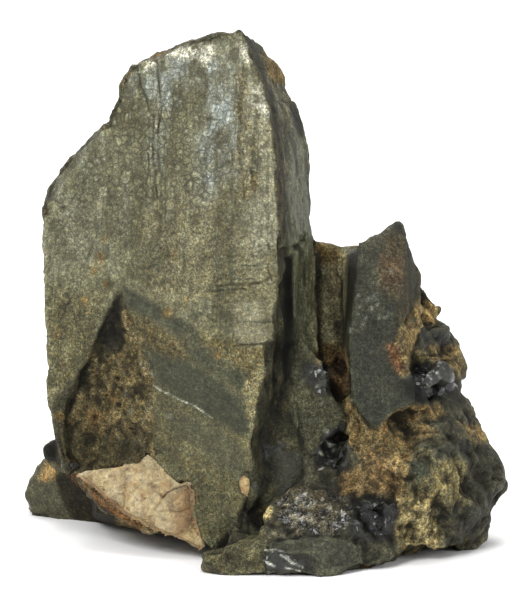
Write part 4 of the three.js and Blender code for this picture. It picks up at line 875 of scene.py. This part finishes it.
# painted glints: the glittering lump gets its pale-speck channel set high, and pale flecks on some chips
paint(seen * soft(GLITTER, xw, yw, 4), (0.085, 0.070, 0.040), 0.3, 0.3, 1.0, 0.9)
paint(seen * soft(GLITTER, xw, yw, 4) * step(id1, 0.40, 0.44), (0.024, 0.022, 0.015), 0.2, 0.05, 0.8, 0.9)
paint(seen * soft(GLITTER, xw, yw, 4) * step(id0, 0.82, 0.84), (0.30, 0.27, 0.20), 0.3, 0.3, 0.8, 1.0)
paint(seen * soft([(296, 490), (330, 487), (350, 496), (340, 502), (310, 500)], xw, yw, 4) * 0.7, (0.10, 0.08, 0.045), 0.6, 0.5)
och = np.zeros(len(V))
for poly in OCHRE:
    och = np.maximum(och, soft(poly, xw, yw, 3))
och_m = och * seen * (1 - front) * (1 - 0.9 * point)
paint(och_m, (0.366, 0.281, 0.137), 0.85, 0.55, 1.0, 0.3)
paint(och_m * step(fbm(V, 1.0, 159, 3), 0.05, 0.28) * 0.8, (0.25, 0.169, 0.075), 0.85, 0.7)
paint(och_m * step(y, 488, 500), (0.562, 0.482, 0.259), 0.85, 0.6)
paint(och_m * step(id2, 0.55, 0.62) * soft([(334, 352), (350, 356), (352, 396), (366, 424), (388, 450), (400, 498), (374, 480), (340, 400)], x, y, 10) * 0.7, (0.36, 0.235, 0.12), 0.85, 0.5)
paint(och_m * step(fine + mid, 0.22, 0.4) * 0.75, (0.104, 0.0845, 0.0468), 0.6, 0.3)
paint(seen * soft([(332, 350), (346, 352), (347, 392), (338, 394), (332, 378)], xw, yw, 3) * 0.9, (0.27, 0.17, 0.085), 0.85, 0.7)
paint(seen * soft([(386, 344), (398, 346), (404, 368), (398, 374), (390, 362)], xw, yw, 4) * 0.85, (0.20, 0.095, 0.048), 0.8, 0.5)
paint(seen * soft([(338, 474), (362, 466), (398, 466), (400, 496), (366, 494), (342, 492)], xw, yw, 4) * 0.6, (0.42, 0.285, 0.14), 0.85, 0.5)
paint(lr * step(hollow, 0.5, 1.2) * 0.5, (0.17, 0.13, 0.065), 0.85, 0.7, 1.0)
glassy2 = glassy * (1 - 0.9 * soft(GLITTER, xw, yw, 5)) * (1 - 0.7 * och * (1 - soft(KNOB_1, xw, yw, 4)))
paint(glassy2, (0.020, 0.0205, 0.016), 0.2, 0.05, 0.35, 0.1, 0, 0)
paint(seen * soft([(402, 380), (412, 378), (430, 396), (426, 404), (410, 400)], xw, yw, 3), (0.006, 0.006, 0.004), 0.6, 0.0, 0.3, 0.0, 0, 0)
paint(seen * soft(SLIT, x, y, 2) * 0.95, (0.006, 0.006, 0.005), 0.4, 0.0, 0.3, 0.1, 0, 0)
# painted highlights: pale glint streaks and dots on the glossy breaks
for pts in SPARKLE:
    paint(seen * (1 - front) * bell(seg_dist(pts, x + 0.3 * wob, y + 0.3 * wob2), 0.7) * (0.35 + 0.65 * step(fine, -0.25, 0.1)), (0.72, 0.73, 0.69), 0.25, 0.0)
for k, (px, py) in enumerate(GLINT_GRID):
    paint(seen * (1 - front) * bell(np.hypot(x - px - 0.5 * wob, (y - py) * (0.7 + 0.1 * (k % 4))), 0.9 + 0.25 * (k % 3)) * 0.8, (0.62, 0.61, 0.56), 0.25, 0.0)
paint(seen * soft(HOLLOW, xw, yw, 5) * 0.9, (0.007, 0.007, 0.005), 0.26, 0.05)
paint(swirl * 0.7, (0.02, 0.019, 0.013), 0.45, 0.1)
paint(rear_plate, (0.13, 0.127, 0.08), 0.5, 0.3, 0.5, 0.08, 0.2, 0.1)
paint(rear_plate * soft([(38, 458), (54, 456), (57, 479), (40, 481)], x + 0.5 * wob, y + 0.5 * wob2, 4), (0.62, 0.43, 0.20), 0.8, 0.75)
paint(seen * soft([(38, 434), (57, 433), (57, 462), (41, 458)], x, y, 3), (0.014, 0.013, 0.009), 0.7, 0.05, 0.6, 0.0, 0, 0)
# under the feldspar: painted shade on the underside below it, with a brown crust band and rust along the fragment's
# edge
paint(seen * soft(UNDER, xw, yw, 3), (0.042, 0.037, 0.018), 0.6, 0.5, 1.0, 0.2)
paint(seen * soft([(116, 510), (141, 522), (178, 539), (177, 549), (140, 545), (118, 536)], xw, yw, 4) * 0.95, (0.46, 0.36, 0.21), 0.75, 0.8, 1.0, 0.5)
rust = bell(seg_dist(RUST_RIM[:6], xw, yw), 3.6) * seen
paint(rust * 0.9, (0.26, 0.12, 0.045), 0.75, 0.6)
paint(near_feld * (1 - rust) * soft([(60, 440), (210, 440), (216, 530), (204, 520), (180, 470), (60, 500)], x, y, 4) * 0.35, (0.10, 0.08, 0.045), 0.7, 0.6)
# ridges are made paler and hollows darker: the darkening in the hollows is painted shade
tone *= (1 + (0.35 + 0.3 * rough) * np.clip(-hollow, 0, 1.2) - (0.45 + 0.25 * rough) * np.clip(hollow, 0, 1.2))[:, None]
# painted shade: the bevel along the upper-left rim, turned away from the broad face, darkened
bevel_shade = front * step(1 - nrm @ FACE_N, 0.03, 0.15) * step(-seg_dist(RIM_L, x, y), -12, -6)
tone *= (1 - 0.35 * bevel_shade)[:, None]
tone *= (1 + 0.14 * low + 0.22 * mid + 0.16 * fine)[:, None]
# painted shade: the broken mass darker where it was pushed in, paler where it stands out
tone *= (1 + np.clip(wide_h, -0.5, 0.3) * rough * 0.6)[:, None]
tone = np.clip(tone, 0.002, 0.9)


# ---- materials ---------------------------------------------------------------------------------------------
class Tree:
    def __init__(self, name):
        self.mat = bpy.data.materials.new(name)
        self.mat.use_nodes = True
        self.t = self.mat.node_tree
        self.t.nodes.clear()
        self.out = self.t.nodes.new("ShaderNodeOutputMaterial")
        self.bsdf = self.t.nodes.new("ShaderNodeBsdfPrincipled")
        self.t.links.new(self.bsdf.outputs[0], self.out.inputs[0])
        self.tc = self.t.nodes.new("ShaderNodeTexCoord")

    def link(self, a, b):
        self.t.links.new(a, b)

    def put(self, sock, v):
        if hasattr(v, "links"):
            self.link(v, sock)
        else:
            sock.default_value = v

    def math(self, op, a, b=0.0, c=None, clamp=False):
        n = self.t.nodes.new("ShaderNodeMath")
        n.operation = op
        n.use_clamp = clamp
        self.put(n.inputs[0], a)
        self.put(n.inputs[1], b)
        if c is not None:
            self.put(n.inputs[2], c)
        return n.outputs[0]

    def coords(self, scale, rot=(0, 0, 0)):
        m = self.t.nodes.new("ShaderNodeMapping")
        m.inputs["Scale"].default_value = [1000 * s for s in scale]
        m.inputs["Rotation"].default_value = rot
        self.link(self.tc.outputs["Object"], m.inputs["Vector"])
        return m.outputs[0]

    def noise(self, vec, scale=1.0, detail=4.0, rough=0.55, distort=0.0):
        n = self.t.nodes.new("ShaderNodeTexNoise")
        n.inputs["Scale"].default_value = scale
        n.inputs["Detail"].default_value = detail
        n.inputs["Roughness"].default_value = rough
        n.inputs["Distortion"].default_value = distort
        self.link(vec, n.inputs["Vector"])
        return n.outputs["Fac"]

    def noise_col(self, vec, scale):
        n = self.t.nodes.new("ShaderNodeTexNoise")
        n.inputs["Scale"].default_value = scale
        n.inputs["Detail"].default_value = 2.0
        self.link(vec, n.inputs["Vector"])
        return n.outputs["Color"]

    def voronoi(self, vec, scale=1.0, feature="F1", out="Distance", random=1.0):
        n = self.t.nodes.new("ShaderNodeTexVoronoi")
        n.feature = feature
        n.inputs["Scale"].default_value = scale
        n.inputs["Randomness"].default_value = random
        self.link(vec, n.inputs["Vector"])
        return n.outputs[out]

    def ramp(self, v, lo, hi, a=0.0, b=1.0):
        n = self.t.nodes.new("ShaderNodeMapRange")
        n.interpolation_type = "SMOOTHSTEP"
        self.put(n.inputs["Value"], v)
        n.inputs["From Min"].default_value = lo
        n.inputs["From Max"].default_value = hi
        n.inputs["To Min"].default_value = a
        n.inputs["To Max"].default_value = b
        return n.outputs[0]

    def mix(self, f, a, b, kind="MIX"):
        n = self.t.nodes.new("ShaderNodeMix")
        n.data_type = "RGBA"
        n.blend_type = kind
        self.put(n.inputs[0], f)
        self.put(n.inputs[6], a)
        self.put(n.inputs[7], b)
        return n.outputs[2]

    def attr(self, name):
        n = self.t.nodes.new("ShaderNodeAttribute")
        n.attribute_name = name
        return n.outputs["Color"]

    def split(self, col):
        n = self.t.nodes.new("ShaderNodeSeparateColor")
        self.link(col, n.inputs[0])
        return n.outputs[0], n.outputs[1], n.outputs[2]

    def bump(self, height, dist, strength=1.0, normal=None):
        n = self.t.nodes.new("ShaderNodeBump")
        n.inputs["Distance"].default_value = dist
        self.put(n.inputs["Strength"], strength)
        self.link(height, n.inputs["Height"])
        if normal is not None:
            self.link(normal, n.inputs["Normal"])
        return n.outputs[0]

    def grey(self, v):
        n = self.t.nodes.new("ShaderNodeCombineColor")
        for i in range(3):
            self.link(v, n.inputs[i])
        return n.outputs[0]


def rgb(*v):
    return (*v, 1.0)


def samarskite_material():
    s = Tree("samarskite")
    base = s.attr("tone")
    rough_, grains, bumpy = s.split(s.attr("surf"))
    pale, lines, crackle = s.split(s.attr("aux"))
    mm = s.coords((1, 1, 1))
    wide = s.noise(mm, 0.55, 5, 0.6, 0.4)
    small = s.noise(mm, 3.1, 6, 0.72)
    tiny = s.noise(mm, 7.0, 4, 0.7)
    tall = s.noise(s.coords((3.2, 3.2, 0.35), (0.17, 0, 0)), 1.0, 4, 0.6)
    # grains: each its own shade
    wv = s.mix(0.12, mm, s.noise_col(mm, 3.0), "ADD")
    ga, gb, gc = s.split(s.voronoi(wv, 3.3, "F1", "Color"))
    g2, g3, _ = s.split(s.voronoi(wv, 5.6, "F1", "Color"))
    # light and dark mottling
    f = s.math("MULTIPLY", s.ramp(wide, 0.3, 0.7, 0.72, 1.28), s.ramp(small, 0.34, 0.66, 0.42, 1.64))
    f = s.math("MULTIPLY", f, s.ramp(tiny, 0.36, 0.64, 0.42, 1.64))
    f = s.math("MULTIPLY", f, s.ramp(ga, 0.0, 1.0, 0.76, 1.25))
    f = s.math("MULTIPLY", f, s.ramp(g2, 0.0, 1.0, 0.78, 1.24))
    f = s.math("ADD", s.math("MULTIPLY", s.math("SUBTRACT", f, 1.0), s.ramp(bumpy, 0.2, 0.9, 0.45, 1.0)), 1.0)
    stri = s.ramp(tall, 0.3, 0.7, 0.60, 1.40)
    stri = s.math("ADD", s.math("MULTIPLY", s.math("SUBTRACT", stri, 1.0), lines), 1.0)
    f = s.math("MAXIMUM", s.math("MULTIPLY", f, stri), 0.08)
    col = s.mix(1.0, base, s.grey(f), "MULTIPLY")
    # some grains are browner, some greyer
    col = s.mix(s.math("MULTIPLY", s.ramp(gb, 0.62, 0.80), s.ramp(grains, 0.1, 0.7, 0.0, 0.65)), col, s.mix(1.0, col, rgb(1.25, 0.98, 0.62), "MULTIPLY"))
    col = s.mix(s.math("MULTIPLY", s.ramp(gc, 0.70, 0.88), 0.6), col, s.mix(1.0, col, rgb(0.88, 0.98, 1.12), "MULTIPLY"))
    # dark pores
    por = s.voronoi(mm, 2.3)
    pore = s.math("MULTIPLY", s.ramp(por, 0.12, 0.26, 1.0, 0.0), s.ramp(small, 0.45, 0.6))
    pore = s.math("MULTIPLY", pore, s.ramp(bumpy, 0.3, 0.8, 0.1, 0.85))
    col = s.mix(pore, col, rgb(0.022, 0.019, 0.012))
    # ochre grains, in drifts
    g = s.noise(mm, 4.2, 5, 0.62)
    drift = s.noise(mm, 0.8, 3, 0.6)
    gm = s.math("ADD", g, s.math("MULTIPLY", s.math("SUBTRACT", drift, 0.5), 0.7))
    thr = s.math("SUBTRACT", 0.74, s.math("MULTIPLY", grains, 0.26))
    gm = s.math("MULTIPLY", s.math("SUBTRACT", gm, thr), 9.0, clamp=True)
    gcol = s.mix(s.ramp(tiny, 0.35, 0.65), rgb(0.11, 0.07, 0.025), rgb(0.38, 0.29, 0.14))
    gcol = s.mix(0.45, gcol, s.mix(1.0, col, rgb(2.1, 1.8, 1.3), "MULTIPLY"))
    col = s.mix(s.math("MULTIPLY", gm, s.math("MULTIPLY", grains, 0.85, clamp=True)), col, gcol)
    # pale specks: pale grains, and painted glints where the pale channel is set high on the dark glossy lumps
    p = s.noise(mm, 5.5, 3, 0.65)
    pm = s.math("MULTIPLY", s.math("SUBTRACT", p, s.math("SUBTRACT", 0.70, s.math("MULTIPLY", pale, 0.17))), 12.0, clamp=True)
    pcol = s.mix(0.5, s.mix(1.0, col, rgb(3.2, 3.2, 3.0), "MULTIPLY"), rgb(0.40, 0.385, 0.31))
    col = s.mix(s.math("MULTIPLY", pm, s.math("MULTIPLY", pale, 1.8, clamp=True)), col, pcol)
    # crackle: dark broken lines round paler cells, in two sizes
    warped = s.mix(0.55, s.coords((1.15, 1.15, 0.95)), s.noise_col(mm, 1.1), "ADD")
    ck = s.voronoi(warped, 1.0, "DISTANCE_TO_EDGE")
    ca, cb, _ = s.split(s.voronoi(warped, 1.0, "F1", "Color"))
    ckm = s.math("MULTIPLY", s.ramp(ck, 0.01, 0.09, 1.0, 0.0), s.math("MULTIPLY", crackle, s.ramp(small, 0.33, 0.53, 0.10, 1.0)))
    warp2 = s.mix(0.5, s.coords((2.3, 2.3, 2.6), (0.0, 0.4, 0.0)), s.noise_col(mm, 2.3), "ADD")
    ck2 = s.voronoi(warp2, 1.0, "DISTANCE_TO_EDGE")
    ckm2 = s.math("MULTIPLY", s.ramp(ck2, 0.02, 0.16, 1.0, 0.0), s.math("MULTIPLY", crackle, s.ramp(wide, 0.42, 0.58, 0.0, 0.8)))
    inside = s.math("MULTIPLY", s.math("MULTIPLY", s.ramp(ck, 0.10, 0.22), s.ramp(ck, 0.30, 0.42, 1.0, 0.35)), s.math("MULTIPLY", crackle, s.ramp(ca, 0.60, 0.72)))
    col = s.mix(s.math("MULTIPLY", inside, 0.75), col, s.mix(1.0, col, rgb(1.75, 1.75, 1.7), "MULTIPLY"))
    col = s.mix(s.math("MULTIPLY", ckm, 0.90), col, rgb(0.042, 0.038, 0.024))
    col = s.mix(s.math("MULTIPLY", ckm2, 0.55), col, rgb(0.06, 0.052, 0.032))
    ckm = s.math("MAXIMUM", ckm, s.math("MULTIPLY", ckm2, 0.6))
    s.link(col, s.bsdf.inputs["Base Color"])
    r = s.math("ADD", rough_, s.ramp(small, 0.3, 0.7, -0.07, 0.10))
    r = s.math("ADD", r, s.math("MULTIPLY", gm, s.math("MULTIPLY", grains, 0.35)), clamp=True)
    s.link(r, s.bsdf.inputs["Roughness"])
    s.bsdf.inputs["IOR"].default_value = 1.5
    s.bsdf.inputs["Specular IOR Level"].default_value = 0.2
    s.bsdf.inputs["Coat Roughness"].default_value = 0.12
    s.link(s.ramp(rough_, 0.18, 0.34, 0.6, 0.0), s.bsdf.inputs["Coat Weight"])
    height = s.math("ADD", s.math("MULTIPLY", small, 1.0), s.math("MULTIPLY", tiny, 0.5))
    height = s.math("ADD", height, s.math("MULTIPLY", ga, 0.22))
    height = s.math("ADD", height, s.math("MULTIPLY", s.math("MULTIPLY", tall, lines), 0.8))
    height = s.math("SUBTRACT", height, s.math("MULTIPLY", pore, 0.4))
    height = s.math("SUBTRACT", height, s.math("MULTIPLY", ckm, 0.4))
    height = s.math("ADD", height, s.math("MULTIPLY", gm, s.math("MULTIPLY", grains, 0.3)))
    shell = s.voronoi(wv, 1.7)
    height = s.math("ADD", height, s.math("MULTIPLY", shell, s.ramp(rough_, 0.2, 0.34, 0.4, 0.0)))
    s.link(s.bump(height, 0.00042, s.math("MULTIPLY", bumpy, 1.0, clamp=True)), s.bsdf.inputs["Normal"])
    return s.mat


def feldspar_material(name, rough_):
    s = Tree(name)
    base = s.attr("tone")
    spots, fibre, _ = s.split(s.attr("surf"))
    mm = s.coords((1, 1, 1))
    wide = s.noise(mm, 0.7, 5, 0.6, 0.6)
    small = s.noise(mm, 2.6, 6, 0.66)
    tiny = s.noise(mm, 7.5, 3, 0.6)
    wv = s.mix(0.15, mm, s.noise_col(mm, 2.5), "ADD")
    ga, gb, gc = s.split(s.voronoi(wv, 2.0, "F1", "Color"))
    f = s.math("MULTIPLY", s.ramp(small, 0.3, 0.7, 0.74, 1.24), s.ramp(tiny, 0.3, 0.7, 0.78, 1.2))
    f = s.math("MULTIPLY", f, s.ramp(ga, 0.0, 1.0, 0.82, 1.16))
    f = s.math("MULTIPLY", f, s.ramp(wide, 0.3, 0.7, 0.86, 1.12))
    col = s.mix(1.0, base, s.grey(f), "MULTIPLY")
    # warm and grey clouds inside the stone
    col = s.mix(s.math("MULTIPLY", s.ramp(wide, 0.50, 0.66), 0.6), col, s.mix(1.0, col, rgb(0.86, 0.72, 0.52), "MULTIPLY"))
    col = s.mix(s.math("MULTIPLY", s.ramp(gb, 0.7, 0.9), 0.35), col, s.mix(1.0, col, rgb(0.92, 0.95, 0.98), "MULTIPLY"))
    # fibrous layers
    fib = s.noise(s.coords((0.8, 3.0, 9.0), (0.17, 0.0, 0.0)), 1.0, 4, 0.6)
    col = s.mix(s.math("MULTIPLY", s.ramp(fib, 0.5, 0.62), s.math("MULTIPLY", fibre, 0.6)), col, rgb(0.13, 0.075, 0.03))
    # brown specks
    sp = s.voronoi(s.mix(0.3, mm, s.noise_col(mm, 3.0), "ADD"), 1.1)
    spm = s.math("MULTIPLY", s.ramp(sp, 0.10, 0.24, 1.0, 0.0), s.math("MULTIPLY", s.ramp(small, 0.42, 0.58), spots))
    col = s.mix(s.math("MULTIPLY", spm, 0.9), col, rgb(0.10, 0.05, 0.02))
    st = s.math("MULTIPLY", s.ramp(s.noise(mm, 1.6, 4, 0.6), 0.54, 0.68), s.math("MULTIPLY", spots, 0.55))
    col = s.mix(st, col, rgb(0.22, 0.125, 0.05))
    s.link(col, s.bsdf.inputs["Base Color"])
    s.link(s.ramp(small, 0.3, 0.7, rough_ - 0.08, rough_ + 0.12), s.bsdf.inputs["Roughness"])
    s.bsdf.inputs["IOR"].default_value = 1.53
    height = s.math("ADD", s.math("ADD", small, s.math("MULTIPLY", tiny, 0.4)), s.math("MULTIPLY", ga, 0.25))
    height = s.math("SUBTRACT", height, s.math("MULTIPLY", spm, 0.6))
    height = s.math("ADD", height, s.math("MULTIPLY", fib, s.math("MULTIPLY", fibre, 0.6)))
    s.link(s.bump(height, 0.00030, 0.9), s.bsdf.inputs["Normal"])
    return s.mat


build("samarskite_body", P, T, {"tone": tone, "surf": surf, "aux": aux}, samarskite_material(), "samarskite", 50)

# ---- feldspar ------------------------------------------------------------------------------------------------
V, T, tree = remeshed("feldspar", 0.16)
V = snap(V, tree, 0.2)
nrm = normals(V, T)
for _ in range(2):
    nrm = nrm + average(nrm, edges_of(T)[0])
nrm /= np.linalg.norm(nrm, axis=1, keepdims=True)
x, y, c = to_view(V)
fs, fid = facets(V, 2.6, 0.5, 0.08, 111)
fs1, fid1 = facets(V, 1.1, 0.5, 0.08, 121)
wob = 2.0 * fbm(V, 1.6, 135, 3)
wob2 = 2.0 * fbm(V, 1.6, 137, 3)
xw, yw = x + wob, y + wob2
lit = step(nrm @ N, 0.45, 0.85)
rim_d = seg_dist(RUST_RIM, x, y)
# it fills its socket, except where its lower edge hangs free
top_edge = bell(seg_dist([(72, 475), (98, 468), (126, 463.5), (143.5, 456), (148, 452.5), (165, 470), (182, 484), (191.5, 482), (197, 520), (206, 547)], x, y), 5) * lit
h = 0.06 + 0.45 * top_edge + (1 - lit) * (0.36 - 0.28 * bell(rim_d, 6)) + 0.16 * fs + 0.17 * fs1 + 0.07 * fbm(V, 0.8, 131, 3) + 0.03 * fbm(V, 0.35, 132, 2)
# cleavage steps
cl = (x * 0.42 + y * 0.9) * GRID
h += lit * 0.08 * (np.floor(cl / 1.7 + 0.35 * fbm(V, 2.5, 133, 2)) % 2)
# the right-hand part turns away round a ridge
right = soft([(163, 498), (184, 486), (200, 484), (202, 532), (190, 540), (166, 530), (160, 514)], xw, yw, 4)
h -= lit * right * 0.9 * np.clip((x - 166) / 28, 0, 1.2) ** 2
h -= lit * soft([(160, 500), (200, 484), (210, 550), (170, 538)], x, y, 8) * 0.25
# layers along the lower edge
layer = bell(rim_d, 7) * step(x, 60, 80)
h += layer * 0.06 * np.sin(rim_d * 2.6 + 2 * fbm(V, 1.0, 139, 2))
h -= layer * 0.10
crk = np.zeros(len(V))
for pts, w, d in (([(160, 499), (166, 493), (174, 489), (183, 486)], 0.9, 0.22), ([(163, 497), (158, 504), (154, 510)], 0.8, 0.12), ([(168, 511), (176, 513), (188, 509)], 0.9, 0.15), ([(163, 497), (157, 493)], 0.7, 0.12), ([(150, 482), (146, 490)], 0.6, 0.06)):
    b = bell(seg_dist(pts, x + 0.4 * wob, y + 0.4 * wob2), w)
    h -= d * b
    crk = np.maximum(crk, b * min(1, d * 4.5))
P = V + nrm * h[:, None]
tone = np.ones((len(V), 3)) * np.array([0.41, 0.325, 0.172])
surf = np.zeros((len(V), 3))
surf[:, 0] = 0.8


def tint(mask, col, spots=None, fibre=None):
    global tone
    m = np.clip(mask, 0, 1)[:, None]
    tone = tone * (1 - m) + m * np.array(col)
    for ch, v in ((0, spots), (1, fibre)):
        if v is not None:
            surf[:, ch] = surf[:, ch] * (1 - m[:, 0]) + m[:, 0] * v


tint(step(fbm(V, 1.4, 161, 3), 0.05, 0.35) * 0.7, (0.336, 0.235, 0.112))
tint(step(fbm(V, 1.1, 163, 3), 0.10, 0.35) * 0.6, (0.504, 0.42, 0.258))
tint(bell(seg_dist([(74, 475), (98, 469), (138, 462), (148, 453)], xw, yw), 4.5) * 0.7 * step(fbm(V, 0.7, 165, 2), -0.3, 0.1), (0.45, 0.37, 0.22), 0.9)
tint(soft([(150, 498), (168, 496), (172, 532), (156, 530)], xw, yw, 6) * 0.6, (0.414, 0.336, 0.19), 0.2)
# painted shade: the right-hand part darkened to brown towards its right edge, where it turns away
tint(right * np.clip((x - 162) / 22, 0, 1), (0.3, 0.188, 0.0825), 0.4)
tint(bell(seg_dist([(189, 490), (190, 512), (186, 528)], xw, yw), 4.5) * 0.8, (0.105, 0.06, 0.024), 0.3)
tint(soft([(184, 478), (190, 478), (192, 485), (186, 487)], x, y, 2), (0.47, 0.40, 0.26), 0.1)
tint(soft([(188, 528), (200, 526), (210, 548), (204, 558), (184, 552), (174, 541)], x, y, 4) * 0.9, (0.56, 0.44, 0.225), 0.15, 0.5)
tint(bell(rim_d, 4.0) * 0.85, (0.312, 0.195, 0.078), 0.4, 1.0)
tint(bell(seg_dist(RUST_RIM[:5], xw, yw), 4.2) * 0.85, (0.20, 0.085, 0.028), 0.4, 0.9)
# painted shade: faces turned away from the view painted darker brown
tint((1 - lit) * 0.7, (0.26, 0.18, 0.09), 0.5, 0.6)
tint(crk * 0.85, (0.09, 0.05, 0.02))
for px, py, r in ((141, 496, 1.8), (152, 487, 2.4), (150, 484, 1.5), (125, 478, 1.6), (108, 474, 1.6), (160, 495, 1.4), (138, 520, 1.6), (127, 468, 1.5), (163, 520, 1.2)):
    tint(bell(np.hypot(x - px, y - py), r) * 0.85, (0.11, 0.055, 0.022))
build("feldspar_piece", P, T, {"tone": tone, "surf": surf}, feldspar_material("feldspar", 0.58), "feldspar", 40)

V, T, tree = remeshed("feldspar_grain", 0.08)
V = snap(V, tree, 0.1)
nrm = normals(V, T)
for _ in range(2):
    nrm = nrm + average(nrm, edges_of(T)[0])
nrm /= np.linalg.norm(nrm, axis=1, keepdims=True)
x, y, c = to_view(V)
fs, fid = facets(V, 0.8, 0.6, 0.1, 151)
P = V + nrm * (0.16 + 0.12 * fs / 0.3 * 0.3 + 0.16 * fbm(V, 0.7, 153, 3) + 0.10 * (1 - step(nrm @ N, 0.3, 0.8)))[:, None]
tone = np.ones((len(V), 3)) * np.array([0.62, 0.48, 0.23])
surf = np.zeros((len(V), 3))
surf[:, 0] = 0.6
tint(step(fbm(V, 0.6, 155, 2), 0.0, 0.3) * 0.8, (0.42, 0.27, 0.10))
tint(1 - bell(np.hypot(x - 246.5, (y - 483) * 0.5), 5.0), (0.22, 0.13, 0.05))
build("feldspar_grain_piece", P, T, {"tone": tone, "surf": surf}, feldspar_material("feldspar_grain", 0.45), "feldspar_grain", 40)

# ---- floor, light and camera ---------------------------------------------------------------------------------
me = bpy.data.meshes.new("floor")
ring = [(0.6 * math.cos(k * math.pi / 48), 0.6 * math.sin(k * math.pi / 48), 0.0) for k in range(96)]
me.from_pydata(ring, [], [tuple(range(96))])
floor = bpy.data.objects.new("floor", me)
bpy.context.scene.collection.objects.link(floor)
fm = Tree("floor")
fm.bsdf.inputs["Base Color"].default_value = rgb(0.93, 0.93, 0.93)
fm.bsdf.inputs["Roughness"].default_value = 0.9
fm.bsdf.inputs["Specular IOR Level"].default_value = 0.0
me.materials.append(fm.mat)

world = bpy.data.worlds.new("studio")
bpy.context.scene.world = world
world.use_nodes = True
wt = world.node_tree
wt.nodes.clear()
wo = wt.nodes.new("ShaderNodeOutputWorld")
bg_light, bg_seen = wt.nodes.new("ShaderNodeBackground"), wt.nodes.new("ShaderNodeBackground")
bg_light.inputs[0].default_value = rgb(1, 1, 1)
bg_light.inputs[1].default_value = 0.45
bg_seen.inputs[0].default_value = rgb(1, 1, 1)
bg_seen.inputs[1].default_value = 1.0
lp, mx = wt.nodes.new("ShaderNodeLightPath"), wt.nodes.new("ShaderNodeMixShader")
wt.links.new(lp.outputs["Is Camera Ray"], mx.inputs[0])
wt.links.new(bg_light.outputs[0], mx.inputs[1])
wt.links.new(bg_seen.outputs[0], mx.inputs[2])
wt.links.new(mx.outputs[0], wo.inputs[0])


def area(name, at, size, power, aim=(0, 0, 0.028), colour=(1, 1, 1)):
    d = bpy.data.lights.new(name, "AREA")
    d.shape = "DISK"
    d.size = size
    d.energy = power
    d.color = colour
    o = bpy.data.objects.new(name, d)
    bpy.context.scene.collection.objects.link(o)
    o.location = at
    o.rotation_mode = "QUATERNION"
    o.rotation_quaternion = (Vector(aim) - Vector(at)).to_track_quat("-Z", "Y")
    return o


area("key", (-0.22, -0.42, 0.42), 0.30, 2.6)
area("top", (0.05, 0.10, 0.60), 0.50, 3.0)
area("fill", (0.50, -0.35, 0.25), 0.35, 1.2)
area("back", (-0.3, 0.45, 0.30), 0.40, 1.6)
area("glint", (-0.16, -0.45, 0.50), 0.05, 0.35)

cam = bpy.data.cameras.new("camera")
cam.sensor_fit = "AUTO"
cam.sensor_width = 36.0
cam.lens = 36.0 * VIEW / (599 * GRID)
cam.clip_start, cam.clip_end = 0.01, 20.0
co = bpy.data.objects.new("camera", cam)
bpy.context.scene.collection.objects.link(co)
co.location = (P0 + N * VIEW) / 1000
co.rotation_mode = "QUATERNION"
co.rotation_quaternion = Vector(-N).to_track_quat("-Z", "Y")
bpy.context.scene.camera = co
bpy.context.scene.view_settings.view_transform = "Standard"
bpy.context.scene.view_settings.look = "None"
